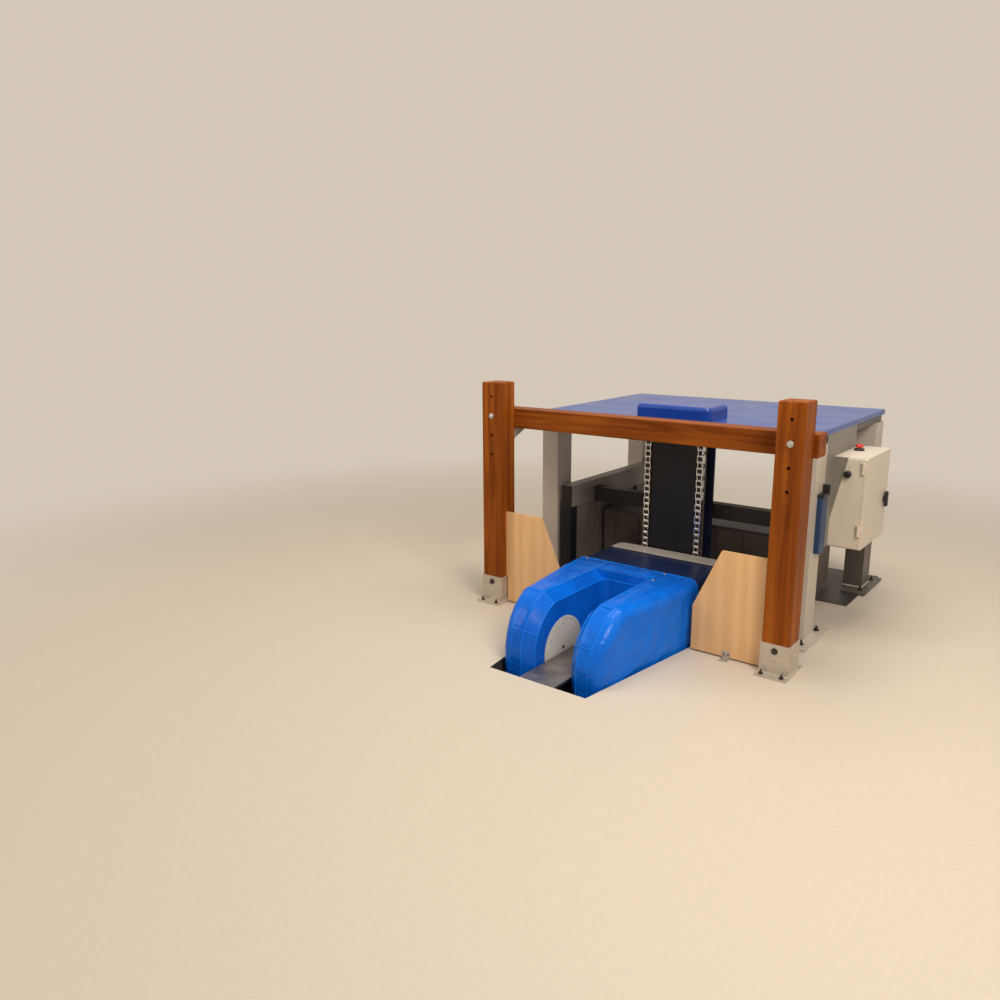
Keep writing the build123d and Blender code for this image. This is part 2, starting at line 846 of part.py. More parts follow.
def magnet_form(inset):
    """The magnet's outer form with its gap for the limb, moved inwards all round by inset."""
    y0 = magnet_front + inset
    y1 = magnet_back - inset
    top = magnet_top - inset
    bottom = magnet_bottom + inset
    side = extrude(nose_profile(inset, -magnet_waist_half, y1), amount=2 * magnet_waist_half, dir=(1, 0, 0))
    front_half = magnet_front_half - inset
    waist_half = magnet_waist_half - inset
    outline = [(-front_half, y0), (front_half, y0), (waist_half, magnet_waist_y), (waist_half, y1),
               (-waist_half, y1), (-waist_half, magnet_waist_y)]
    body = side & prism_z(outline, bottom, top)
    ridges = ShapeList([e for e in body.edges() if is_outer_ridge(e, y1)])
    body = fillet(ridges, cover_edge_round - inset)
    reach = gap_half + gap_bevel + (math.sqrt(2) - 1) * inset
    body -= block(-reach, reach, y0 - 10, gap_back + inset, bottom - 10, top + 10)
    strip = gap_side(inset)
    return body.fuse(strip, mirrored(strip))


def is_outer_ridge(edge, rear):
    """Whether an edge runs along the outside, between a side and the front, top or underside."""
    box = edge.bounding_box()
    outside = min(abs(box.min.X), abs(box.max.X)) > gap_half + gap_bevel + 20 and box.size.X < 150
    at_rear = box.min.Y > rear - 1
    at_waist = box.size.Y < 1 and abs(box.min.Y - magnet_waist_y) < 1
    return outside and not at_rear and not at_waist


def magnet_cover():
    """The padded shell over both arms, open to the rear, with two windows for the pole discs."""
    body = magnet_form(0) - magnet_form(cover_wall)
    reach = magnet_waist_half + 1
    body -= block(-reach, reach, cover_back, magnet_back + 1, magnet_bottom - 1, magnet_top + 1)
    for side in (-1, 1):
        x = side * gap_half
        body -= rod("X", pole_radius + seat, x - 15, x + 15, (pole_y, pole_z))
    return body


def rear_cover():
    """The plain shell round the rear yoke, slipped into the padded one, with the carriage's window."""
    outer = cover_wall + seat
    inner = outer + rear_cover_wall
    reach = magnet_waist_half + 1
    front = cover_back - cover_lap
    body = magnet_form(outer) - magnet_form(inner)
    body -= block(-reach, reach, magnet_front - 1, front, magnet_bottom - 1, magnet_top + 1)
    window = yoke_boss_half_width + window_gap
    body -= block(-window, window, magnet_back - inner - 5, magnet_back + 5, yoke_bottom - window_gap,
                  yoke_top + window_gap)
    return body


def back_yoke():
    """The iron block that joins both arms and is bolted to the carriage through the cover's window."""
    body = block(-back_yoke_half_width, back_yoke_half_width, back_yoke_front, back_yoke_back, yoke_bottom,
                 yoke_top)
    body = chamfer(body.edges().filter_by(Axis.Z), 12)
    boss = block(-yoke_boss_half_width, yoke_boss_half_width, back_yoke_back, carriage_front, yoke_bottom,
                 yoke_top)
    return body + boss


def yoke_plate(side):
    points = [
        (yoke_front, pole_z - yoke_front_half_height),
        (yoke_front, pole_z + yoke_front_half_height),
        (yoke_shoulder_y, yoke_top),
        (back_yoke_front, yoke_top),
        (back_yoke_front, yoke_bottom),
        (yoke_shoulder_y, yoke_bottom),
    ]
    body = prism_x(points, yoke_plate_x, yoke_plate_x + yoke_plate_thickness)
    return body if side > 0 else mirrored(body)


def magnet_block(side):
    body = rod("X", magnet_block_radius, block_x, yoke_plate_x, (pole_y, pole_z))
    return body if side > 0 else mirrored(body)


def pole_disc(side):
    """The pale disc that closes the coil pack in the gap, with a centre screw and a rim step."""
    body = rod("X", pole_radius, pole_face_x, block_x, (pole_y, pole_z))
    groove = pole_radius - disc_groove_inset
    deep = pole_face_x + disc_groove_depth
    body -= rod("X", groove, pole_face_x - 1, deep, (pole_y, pole_z)) - rod(
        "X", groove - disc_groove_width, pole_face_x - 1, deep, (pole_y, pole_z))
    deep = pole_face_x + disc_screw_depth
    body -= rod("X", 2 * disc_screw_radius, pole_face_x - 1, deep, (pole_y, pole_z))
    ring = pole_radius - disc_screw_inset
    for i in range(disc_screw_count):
        angle = 2 * math.pi * (i + 0.5) / disc_screw_count
        at = (pole_y + ring * math.cos(angle), pole_z + ring * math.sin(angle))
        body -= rod("X", disc_screw_radius, pole_face_x - 1, deep, at)
    return body if side > 0 else mirrored(body)


def cover_studs():
    """Press studs on the padded cover's top: one by its left side, two beside the gap."""
    rear_y = cover_back - stud_rear_inset
    right_x = gap_half + gap_bevel + stud_gap_outset
    places = ((stud_side_inset - magnet_waist_half, rear_y), (right_x, rear_y), (right_x, gap_back))
    group = []
    for x, y in places:
        stud = rod("Z", stud_radius, magnet_top, magnet_top + stud_height, (x, y))
        group.append(chamfer(stud.edges().group_by(Axis.Z)[-1], 2))
    return Compound(children=group)


# Carriage

def carriage_plate():
    """The steel plate behind the yoke, with two windows that the chain wheels reach into."""
    body = block(-carriage_half_width, carriage_half_width, carriage_front, carriage_back, carriage_bottom,
                 carriage_top)
    body = chamfer(body.edges().filter_by(Axis.Y).group_by(Axis.Z)[0], 30)
    half = sprocket_width / 2 + window_gap
    reach = sprocket_roll_radius + tooth_tip_outset + window_gap
    for x in (-chain_x, chain_x):
        body -= block(x - half, x + half, carriage_front - 1, carriage_back + 1, sprocket_z - reach,
                      sprocket_z + reach)
    return body


def carriage_hood():
    """The pale plate over the sprocket shaft, just behind the magnet's cover."""
    body = block(-hood_half_width, hood_half_width, magnet_back + 2, hood_back, carriage_top, hood_top)
    return fillet(body.edges().filter_by(Axis.Z).group_by(Axis.Y)[-1], hood_corner)


def carriage_arm(side):
    """A side plate that carries two wheels and the sprocket shaft."""
    points = [
        (carriage_back, arm_bottom - 40),
        (carriage_back, arm_top),
        (arm_back - 90, arm_top),
        (arm_back, arm_top - 80),
        (arm_back, arm_bottom),
    ]
    body = prism_x(points, arm_inner_x, arm_outer_x)
    body += rod("X", bearing_radius, arm_inner_x - bearing_width, arm_inner_x, (drive_y, sprocket_z))
    for z in wheel_heights.values():
        body -= rod("X", wheel_pin_radius + running, arm_inner_x - 1, arm_outer_x + 1, (mast_middle_y, z))
    body -= rod("X", drive_shaft_radius + running, arm_inner_x - bearing_width - 1, arm_outer_x + 1,
                (drive_y, sprocket_z))
    hole = block(arm_inner_x - 1, arm_outer_x + 1, carriage_back + arm_hole_inset, mast_middle_y - 60,
                 lower_wheel_z + arm_hole_inset, upper_wheel_z - arm_hole_inset)
    body -= fillet(hole.edges().filter_by(Axis.X), 15)
    return body if side > 0 else mirrored(body)


def wheel_pins():
    group = []
    for z in wheel_heights.values():
        pin = rod("X", wheel_pin_radius, wheel_inner_x - 4, arm_outer_x + 2, (mast_middle_y, z))
        pin += rod("X", wheel_pin_radius + 7, arm_outer_x, arm_outer_x + 8,
                   (mast_middle_y, z))
        group.append(pin)
    return Compound(children=group + [mirrored(g) for g in group])


def guide_wheel(side, z):
    body = rod("X", wheel_radius, wheel_inner_x, wheel_outer_x, (mast_middle_y, z))
    body -= rod("X", wheel_radius - 12, wheel_outer_x - 5, wheel_outer_x + 1, (mast_middle_y, z)) - rod(
        "X", wheel_pin_radius + 10, wheel_outer_x - 5, wheel_outer_x + 1, (mast_middle_y, z))
    body -= rod("X", wheel_pin_radius + running, wheel_inner_x - 1, wheel_outer_x + 1, (mast_middle_y, z))
    return body if side > 0 else mirrored(body)


def sprocket(side):
    """A nine-tooth wheel between the chain's plates, with one tooth pointing at the chain at rest."""
    x0 = chain_x - sprocket_width / 2
    x1 = chain_x + sprocket_width / 2
    root = sprocket_roll_radius - tooth_root_inset
    tip = sprocket_roll_radius + tooth_tip_outset
    points = []
    for i in range(sprocket_teeth):
        turn = 2 * math.pi * i / sprocket_teeth
        for radius, half in ((root, -tooth_root_half), (tip, -tooth_tip_half), (tip, tooth_tip_half),
                             (root, tooth_root_half)):
            y = drive_y + radius * math.cos(turn) - half * math.sin(turn)
            z = sprocket_z + radius * math.sin(turn) + half * math.cos(turn)
            points.append((y, z))
    body = prism_x(points, x0, x1)
    body += rod("X", sprocket_hub_radius, x0 - sprocket_hub_length, x0, (drive_y, sprocket_z))
    return body if side > 0 else mirrored(body)


def sprocket_shaft():
    """The cross shaft with both chain wheels keyed on it, driven from its right end."""
    left = -arm_outer_x - seat * 2
    right = arm_outer_x + gearbox_width - gearbox_wall - 2
    shaft = rod("X", drive_shaft_radius, left, right, (drive_y, sprocket_z))
    collar = rod("X", drive_shaft_radius + 8, left - 8, left, (drive_y, sprocket_z))
    return shaft.fuse(collar, sprocket(-1), sprocket(1))


def lift_gearmotor():
    """A worm gearbox on the right arm with its motor standing below it."""
    x0 = arm_outer_x
    x1 = x0 + gearbox_width
    half = gearbox_size / 2
    front = carriage_back + 1
    motor_top = sprocket_z - half - 12
    body = block(x0, x1, front, drive_y + half, sprocket_z - half, sprocket_z + half)
    body = chamfer(body.edges().filter_by(Axis.X), 14)
    motor_y = (front + drive_y + half) / 2
    body += rod("Z", motor_radius * 0.5, motor_top, sprocket_z - half + 1, (x1 - gearbox_width / 2, motor_y))
    motor = rod("Z", motor_radius, motor_top - motor_length, motor_top, (x0 + motor_radius + 2, motor_y))
    body += chamfer(motor.edges().filter_by(GeomType.CIRCLE), 4)
    body -= rod("X", drive_shaft_radius + running, x0 - 1, x1 - gearbox_wall, (drive_y, sprocket_z))
    return body


# Pit

def hoof_plate():
    body = block(-hoof_plate_half, hoof_plate_half, hoof_plate_front, hoof_plate_back,
                 hoof_plate_top - hoof_plate_thickness, hoof_plate_top)
    return fillet(body.edges().filter_by(Axis.Z).group_by(Axis.Y)[-1], hoof_plate_corner)


def pit_frame():
    """The hollow beam along the pit with the two square columns welded on it."""
    half = pedestal_size / 2
    top = hoof_plate_top - hoof_plate_thickness
    w = pedestal_wall
    body = tube_y(-pit_beam_half, pit_beam_half, front_pedestal_y - pit_beam_overhang,
                  channel_back + mast_foot_outset + 5, pit_beam_top - pit_beam_height, pit_beam_top, pit_beam_wall)
    for y in (front_pedestal_y, rear_pedestal_y):
        column = block(-half, half, y - half, y + half, pit_beam_top, top)
        column -= block(-half + w, half - w, y - half + w, y + half - w, pit_beam_top - 1, top - w)
        body += column
    return body


def rest_pads():
    group = []
    for x in (-rest_pad_x, rest_pad_x):
        for y in (rest_pad_front_y, rest_pad_rear_y):
            group.append(rod("Z", rest_pad_radius, pit_beam_top, magnet_bottom - seat, (x, y)))
    return Compound(children=group)


# Control cabinet

def mount_plate():
    """The sheet that carries the cabinet: folded in under the table, with a cheek at the case's front."""
    y0 = front_leg_y + leg_depth
    t = mount_plate_thickness
    body = block(leg_outer_x - t, leg_outer_x, y0, mount_plate_back, mount_plate_bottom, apron_top)
    body += block(apron_outer_x, leg_outer_x, y0, mount_plate_back, apron_top - t, apron_top)
    cheek = [
        (leg_outer_x - t, mount_cheek_bottom),
        (leg_outer_x, mount_cheek_bottom),
        (leg_outer_x + mount_cheek_reach, cabinet_top),
        (leg_outer_x - t, cabinet_top),
    ]
    return body + prism_y(cheek, cabinet_front - seat - t, cabinet_front - seat)


def knuckle(z0, z1, toward):
    """A hinge barrel with its leaf, toward +1 for the door, which turns, and -1 for the case."""
    body = rod("Z", knuckle_radius, z0, z1, (hinge_x, hinge_y))
    near = hinge_x + toward * 1
    far = hinge_x + toward * (door_thickness - 2)
    body += block(min(near, far), max(near, far), hinge_y, cabinet_front + 1, z0, z1)
    if toward > 0:
        body -= rod("Z", hinge_pin_radius + running, z0 - 1, z1 + 1, (hinge_x, hinge_y))
    return body


def cabinet_case():
    w = cabinet_wall
    body = block(cabinet_inner_x, case_x, cabinet_front, cabinet_back, cabinet_bottom, cabinet_top)
    body = fillet(body.edges().filter_by(Axis.X), cabinet_corner)
    body -= block(cabinet_inner_x + w, case_x + 1, cabinet_front + w, cabinet_back - w, cabinet_bottom + w,
                  cabinet_top - w)
    third = hinge_length / 3
    for z in hinge_heights:
        body += knuckle(z, z + third - knuckle_gap, -1)
        body += knuckle(z + 2 * third + knuckle_gap, z + hinge_length, -1)
        body += rod("Z", hinge_pin_radius, z - 2, z + hinge_length + 2, (hinge_x, hinge_y))
    body -= rod("Y", knob_shaft_radius + running, cabinet_front - 1, cabinet_front + w + 1, (knob_x, knob_z))
    body -= rod("Z", button_stem_radius + running, cabinet_top - w - 1, cabinet_top + 1, (button_x, button_y))
    body -= rod("Z", gland_thread_radius + running, cabinet_bottom - 1, cabinet_bottom + w + 1, (gland_x, gland_y))
    return body


def cabinet_door():
    """The folded door, hollow behind its face, with the hinges' middle barrels."""
    x0 = door_x
    body = block(x0, cabinet_face_x, cabinet_front, cabinet_back, cabinet_bottom, cabinet_top)
    body = fillet(body.edges().filter_by(Axis.X), cabinet_corner)
    body = fillet(body.faces().sort_by(Axis.X)[-1].edges(), 3)
    rim = door_rim
    w = door_sheet
    body -= block(x0 - 1, cabinet_face_x - w, cabinet_front + rim, cabinet_back - rim, cabinet_bottom + rim,
                  cabinet_top - rim)
    third = hinge_length / 3
    for z in hinge_heights:
        body += knuckle(z + third, z + 2 * third, 1)
    body -= rod("X", handle_shaft_radius + running, x0 - 1, cabinet_face_x + 1, (handle_y, handle_z))
    return body


def door_handle():
    """A turning grip with its shaft through the door and the latch tongue on the inside."""
    x0 = door_x
    body = rod("X", handle_shaft_radius, x0 - 12, cabinet_face_x + 8, (handle_y, handle_z))
    body += rod("X", handle_width * 0.7, cabinet_face_x + seat, cabinet_face_x + 6, (handle_y, handle_z))
    half = handle_width / 2
    grip = block(cabinet_face_x + 6, cabinet_face_x + 6 + handle_depth, handle_y - half, handle_y + half,
                 handle_z - handle_length / 2, handle_z + handle_length / 2)
    grip = fillet(grip.edges().filter_by(Axis.X), half * 0.8)
    body += chamfer(grip.faces().sort_by(Axis.X)[-1].edges(), 3)
    body += block(x0 - 10, x0 - 6, handle_y - 9, cabinet_back - cabinet_wall - 8, handle_z - 9, handle_z + 9)
    return body


def component_board():
    """The back plate inside the case, with its relays and a terminal strip."""
    x0 = cabinet_inner_x + cabinet_wall
    x1 = x0 + board_standoff
    y0, y1 = cabinet_front + board_margin, cabinet_back - board_margin
    z0, z1 = cabinet_bottom + board_margin, cabinet_top - board_margin
    body = block(x1, x1 + board_thickness, y0, y1, z0, z1)
    for y in (y0 + board_post_inset, y1 - board_post_inset):
        for z in (z0 + board_post_inset, z1 - board_post_inset):
            body += rod("X", board_post_radius, x0, x1, (y, z))
    front = x1 + board_thickness
    first = y0 + board_row_inset
    relay_top = z1 - board_row_inset
    relay_count = int((y1 - first - relay_width) // relay_pitch) + 1
    for i in range(relay_count):
        y = first + i * relay_pitch
        body += block(front, front + relay_depth, y, y + relay_width, relay_top - relay_height, relay_top)
    low = z0 + terminal_drop
    body += block(front, front + terminal_depth, first, y1 - board_row_inset, low, low + terminal_height)
    low += terminal_height + board_row_inset
    body += block(front, front + drive_depth, first, first + drive_width, low, low + drive_height)
    return body


def button_collar():
    body = rod("Z", collar_radius, cabinet_top, cabinet_top + collar_height, (button_x, button_y))
    body = chamfer(body.edges().group_by(Axis.Z)[-1], 3)
    body -= rod("Z", button_stem_radius + running, cabinet_top - 1, cabinet_top + collar_height + 1,
                (button_x, button_y))
    return body


def stop_button():
    z0 = cabinet_top + collar_height + button_travel + 1
    head = rod("Z", button_radius, z0, z0 + button_height, (button_x, button_y))
    head = fillet(head.edges().group_by(Axis.Z)[-1], button_height * 0.6)
    return head + rod("Z", button_stem_radius, cabinet_top - cabinet_wall - 12, z0 + 1, (button_x, button_y))


def selector_knob():
    y0 = cabinet_front - seat
    body = rod("Y", knob_radius, y0 - knob_length, y0, (knob_x, knob_z))
    body = chamfer(body.edges().group_by(Axis.Y)[0], 3)
    body += block(knob_x - 3.5, knob_x + 3.5, y0 - knob_length - 6, y0 - knob_length + 1, knob_z - knob_radius + 3,
                  knob_z + knob_radius - 3)
    return body + rod("Y", knob_shaft_radius, y0 - 1, cabinet_front + cabinet_wall + 14, (knob_x, knob_z))


def cable_gland():
    """The entry under the case, with its thread, lock nut and domed cap."""
    at = (gland_x, gland_y)
    z0 = cabinet_bottom
    inside = z0 + cabinet_wall
    body = rod("Z", gland_radius, z0 - 12, z0, at)
    body += rod("Z", gland_radius * 0.85, z0 - gland_length, z0 - 12, at)
    body = chamfer(body.edges().group_by(Axis.Z)[0], 4)
    body += rod("Z", gland_thread_radius, z0, inside + 9, at)
    body += rod("Z", gland_radius, inside, inside + 5, at)
    return body - rod("Z", gland_bore, z0 - gland_length - 1, inside + 10, at)


def pair(make):
    """The left and the right one as two solids."""
    return Compound(children=[make(-1), make(1)])


def sides(make, name):
    """Both mirrored pieces of a pair, by their node names."""
    return {"left_" + name: make(-1), "right_" + name: make(1)}


def all_parts():
    parts = {}
    parts.update(sides(post, "post"))
    parts["cross_beam"] = cross_beam()
    parts["beam_bolts"] = beam_bolts()
    parts["post_shoes"] = pair(post_shoe)
    parts["shoe_bolts"] = shoe_bolts()
    parts.update(sides(guard, "guard"))
    parts["guard_brackets"] = guard_brackets()
    parts["table_brackets"] = table_brackets()
    parts["table_top"] = table_top()
    parts["table_frame"] = table_frame()
    parts["front_legs"] = pair(lambda side: leg(side, front_leg_y, 0))
    parts["rear_legs"] = pair(lambda side: leg(side, rear_leg_y, floor_plate_thickness))
    parts["side_rails"] = pair(side_rail)
    parts["rail_packers"] = rail_packers()
    parts["rail_posts"] = pair(rail_post)
    parts["rail_skirts"] = pair(rail_skirt)
    parts["mast_cross_beams"] = mast_cross_beams()
    parts["rear_floor_plate"] = rear_floor_plate()
    parts["drive_housing"] = drive_housing()
    parts["cable_duct"] = cable_duct()
    parts["duct_clip"] = duct_clip()
    parts.update(sides(mast_channel, "mast_channel"))
    parts["mast_foot"] = mast_foot()
    parts["mast_head"] = mast_head()
    parts["mast_panel"] = mast_panel()
    parts["mast_cap"] = mast_cap()
    parts["lifting_chains"] = pair(lifting_chain)
    parts["chain_anchors"] = chain_anchors()
    parts["magnet_cover"] = magnet_cover()
    parts["rear_cover"] = rear_cover()
    parts["back_yoke"] = back_yoke()
    parts["yoke_plates"] = pair(yoke_plate)
    parts["magnet_blocks"] = pair(magnet_block)
    parts["pole_discs"] = pair(pole_disc)
    parts["cover_studs"] = cover_studs()
    parts["carriage_plate"] = carriage_plate()
    parts["carriage_hood"] = carriage_hood()
    parts["carriage_arms"] = pair(carriage_arm)
    parts["wheel_pins"] = wheel_pins()
    parts.update(sides(lambda side: guide_wheel(side, upper_wheel_z), "upper_wheel"))
    parts.update(sides(lambda side: guide_wheel(side, lower_wheel_z), "lower_wheel"))
    parts["sprocket_shaft"] = sprocket_shaft()
    parts["lift_gearmotor"] = lift_gearmotor()
    parts["hoof_plate"] = hoof_plate()
    parts["pit_frame"] = pit_frame()
    parts["rest_pads"] = rest_pads()
    parts["mount_plate"] = mount_plate()
    parts["cabinet_case"] = cabinet_case()
    parts["cabinet_door"] = cabinet_door()
    parts["door_handle"] = door_handle()
    parts["component_board"] = component_board()
    parts["button_collar"] = button_collar()
    parts["stop_button"] = stop_button()
    parts["selector_knob"] = selector_knob()
    parts["cable_gland"] = cable_gland()
    return parts


if __name__ == "__main__":
    os.makedirs("parts", exist_ok=True)
    for name, shape in all_parts().items():
        export_step(shape, "parts/" + name + ".step")
        print(name, round(shape.volume))
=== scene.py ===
import math
import bpy
import numpy as np
from mathutils import Matrix, Vector


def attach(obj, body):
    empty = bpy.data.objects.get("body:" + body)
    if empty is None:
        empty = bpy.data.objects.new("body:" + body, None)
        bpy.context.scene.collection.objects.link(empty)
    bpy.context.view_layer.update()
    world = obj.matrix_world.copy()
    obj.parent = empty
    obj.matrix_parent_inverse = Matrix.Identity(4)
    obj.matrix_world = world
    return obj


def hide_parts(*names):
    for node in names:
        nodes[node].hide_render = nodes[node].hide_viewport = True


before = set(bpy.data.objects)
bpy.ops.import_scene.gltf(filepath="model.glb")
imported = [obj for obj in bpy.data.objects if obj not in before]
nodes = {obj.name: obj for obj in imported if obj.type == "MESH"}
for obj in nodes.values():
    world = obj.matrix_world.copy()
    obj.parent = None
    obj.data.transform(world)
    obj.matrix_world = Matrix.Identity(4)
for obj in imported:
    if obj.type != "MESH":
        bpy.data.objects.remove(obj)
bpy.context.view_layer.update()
scene = bpy.context.scene
print("frame loaded,", len(nodes), "nodes")


# Shader maths as plain expressions

class Value:
    # a shader socket that can be added, multiplied and so on
    def __init__(self, finish, socket):
        self.finish = finish
        self.socket = socket

    def maths(self, operation, first, second):
        return self.finish.node("ShaderNodeMath", {"operation": operation}, {0: first, 1: second})

    def __add__(self, other):
        return self.maths("ADD", self, other)

    def __radd__(self, other):
        return self.maths("ADD", other, self)

    def __sub__(self, other):
        return self.maths("SUBTRACT", self, other)

    def __mul__(self, other):
        return self.maths("MULTIPLY", self, other)

    def __pow__(self, other):
        return self.maths("POWER", self, other)


class Finish:
    # one material with a principled shader and helpers that add nodes
    def __init__(self, name):
        self.material = bpy.data.materials.new(name)
        self.material.use_nodes = True
        self.tree = self.material.node_tree
        self.tree.nodes.clear()
        self.shader = self.tree.nodes.new("ShaderNodeBsdfPrincipled")
        output = self.tree.nodes.new("ShaderNodeOutputMaterial")
        self.tree.links.new(self.shader.outputs[0], output.inputs["Surface"])
        self.place = self.node("ShaderNodeTexCoord", {}, {}, "Object")

    def node(self, kind, settings, inputs, output=0):
        made = self.tree.nodes.new(kind)
        for key, value in settings.items():
            if key == "stops":
                ramp = made.color_ramp
                while len(ramp.elements) < len(value):
                    ramp.elements.new(0.5)
                for element, (position, colour) in zip(ramp.elements, value):
                    element.position = position
                    element.color = (*colour, 1)
            else:
                setattr(made, key, value)
        for key, value in inputs.items():
            if isinstance(value, Value):
                self.tree.links.new(value.socket, made.inputs[key])
            elif made.inputs[key].type == "RGBA":
                made.inputs[key].default_value = (*value, 1)
            else:
                made.inputs[key].default_value = value
        return Value(self, made.outputs[output])

    def stretched(self, scale, turn=(0, 0, 0), move=(0, 0, 0)):
        return self.node("ShaderNodeMapping", {}, {"Vector": self.place, "Scale": scale,
                                                   "Rotation": turn, "Location": move})

    def noise(self, scale, detail=3, roughness=0.5, vector=None, twist=0.0):
        return self.node("ShaderNodeTexNoise", {}, {"Vector": vector or self.place, "Scale": scale,
                                                    "Detail": detail, "Roughness": roughness,
                                                    "Distortion": twist})

    def range(self, value, low, high, start=0.0, end=1.0):
        return self.node("ShaderNodeMapRange", {"interpolation_type": "SMOOTHSTEP"},
                         {0: value, 1: low, 2: high, 3: start, 4: end})

    def mix(self, factor, first, second):
        return self.node("ShaderNodeMix", {"data_type": "RGBA"}, {0: factor, 6: first, 7: second}, 2)

    def axis(self, name):
        return self.node("ShaderNodeSeparateXYZ", {}, {0: self.place}, name)

    def bump(self, height, strength, distance):
        return self.node("ShaderNodeBump", {}, {"Height": height, "Strength": strength,
                                                "Distance": distance})

    def bevelled(self, radius, under=None):
        inputs = {"Radius": radius}
        if under is not None:
            inputs["Normal"] = under
        return self.node("ShaderNodeBevel", {"samples": 4}, inputs)

    def done(self, **sockets):
        names = {"colour": "Base Color", "roughness": "Roughness", "metallic": "Metallic",
                 "coat": "Coat Weight", "coatRoughness": "Coat Roughness", "normal": "Normal",
                 "specular": "Specular IOR Level"}
        for key, value in sockets.items():
            target = self.shader.inputs[names[key]]
            if isinstance(value, Value):
                self.tree.links.new(value.socket, target)
            elif key == "colour":
                target.default_value = (*value, 1)
            else:
                target.default_value = value
        return self.material


# Finishes

timber = {"dark": (0.100, 0.020, 0.003), "middle": (0.240, 0.058, 0.006), "light": (0.42, 0.120, 0.012)}


def timberFinish(name, along):
    # long growth lines along one axis, with finer pores between them and a varnish over all
    made = Finish(name)
    long, across = 1.1, 26.0
    scale = tuple(long if axis == along else across for axis in "XYZ")
    fine = tuple(3.0 if axis == along else 240.0 for axis in "XYZ")
    grain = made.noise(1.0, 5, 0.6, made.stretched(scale), 0.8)
    pores = made.noise(1.0, 2, 0.5, made.stretched(fine))
    patches = made.noise(2.2, 2)
    tone = grain * 0.75 + patches * 0.25
    stops = [(0.30, timber["dark"]), (0.52, timber["middle"]), (0.72, timber["light"])]
    colour = made.node("ShaderNodeValToRGB", {"stops": stops}, {0: tone})
    poreMask = made.range(pores, 0.60, 0.72)
    colour = made.mix(poreMask * 0.45, colour, timber["dark"])
    normal = made.bump(grain * 0.4 - poreMask * 0.5, 0.25, 0.002)
    return made.done(colour=colour, roughness=made.range(grain, 0.3, 0.8, 0.38, 0.52), specular=0.06,
                     coat=0.02, coatRoughness=0.2, normal=made.bevelled(0.002, normal))


plywood = {"face": (0.80, 0.475, 0.215), "dark": (0.73, 0.42, 0.18), "edge": (0.52, 0.29, 0.12)}


def plywoodFinish():
    # rotary-cut veneer: wide cathedral figure that runs upwards, and darker ply lines on the edges
    made = Finish("varnishedPlywood")
    figure = made.noise(1.0, 3, 0.55, made.stretched((7.0, 7.0, 1.0)), 1.6)
    bands = made.node("ShaderNodeTexWave", {"bands_direction": "X"},
                      {"Vector": made.stretched((1.0, 1.0, 0.12)), "Scale": 5.0, "Distortion": 7.0,
                       "Detail": 2.0, "Detail Scale": 0.8}, "Fac")
    fine = made.noise(1.0, 2, 0.5, made.stretched((260.0, 260.0, 9.0)))
    stripes = made.range(figure * 0.6 + bands * 0.4, 0.25, 0.75)
    colour = made.mix(stripes, plywood["face"], plywood["dark"])
    colour = made.mix(made.range(fine, 0.58, 0.75) * 0.35, colour, plywood["edge"])
    return made.done(colour=colour, roughness=made.range(figure, 0.3, 0.7, 0.40, 0.52), coat=0.12,
                     coatRoughness=0.25, normal=made.bump(fine, 0.12, 0.001))


def paintFinish(name, colour, roughness=0.42, speckle=0.06, coat=0.0, worn=0.0,
                wornColour=(0.30, 0.29, 0.27), grain=420.0, specular=0.5):
    # sprayed paint: faint orange peel, slight colour drift, and bare metal on rubbed edges
    made = Finish(name)
    drift = made.noise(3.0, 3)
    peel = made.noise(grain, 2)
    darker = tuple(c * (1 - 2.2 * speckle) for c in colour)
    lighter = tuple(min(1.0, c * (1 + speckle)) for c in colour)
    shade = made.mix(made.range(drift, 0.3, 0.7), darker, lighter)
    if worn > 0:
        scuffs = made.noise(1.0, 5, 0.7, made.stretched((9, 9, 9)), 0.4)
        mask = made.range(scuffs, 0.66, 0.74) * worn
        shade = made.mix(mask, shade, wornColour)
    gloss = made.range(drift, 0.3, 0.7, roughness - 0.05, roughness + 0.07)
    return made.done(colour=shade, roughness=gloss, coat=coat, specular=specular, coatRoughness=0.15,
                     normal=made.bevelled(0.0012, made.bump(peel, 0.06, 0.0004)))


def steelFinish(name, colour, roughness, along="Z", streak=0.10):
    # drawn or ground metal with fine lines one way and soft stains
    made = Finish(name)
    scale = tuple(5.0 if axis == along else 520.0 for axis in "XYZ")
    lines = made.noise(1.0, 3, 0.6, made.stretched(scale))
    stain = made.noise(6.0, 4, 0.6)
    darker = tuple(c * (1 - streak * 2) for c in colour)
    shade = made.mix(made.range(lines * 0.5 + stain * 0.5, 0.3, 0.7), darker, colour)
    gloss = made.range(stain, 0.3, 0.7, roughness - 0.06, roughness + 0.10)
    return made.done(colour=shade, metallic=1.0, roughness=gloss,
                     normal=made.bevelled(0.0008, made.bump(lines, 0.08, 0.0003)))


def splitFinish(name, axis, border, below, above, roughness=0.45):
    # two tones that meet at one height or depth, with a ragged border and drifting tones; on the rear
    # legs the dark lower tone is painted shade
    made = Finish(name)
    wander = made.noise(30.0, 3)
    drift = made.noise(4.0, 3)
    upper = made.range(made.axis(axis) + wander * border[1], border[0], border[0] + border[1])
    shade = made.mix(upper, below, above)
    shade = made.mix(made.range(drift, 0.35, 0.7) * 0.18, shade, tuple(0.5 * c for c in below))
    gloss = made.range(drift, 0.3, 0.7, roughness - 0.05, roughness + 0.08)
    return made.done(colour=shade, roughness=gloss, specular=0.4,
                     normal=made.bevelled(0.0012, made.bump(wander, 0.05, 0.0006)))


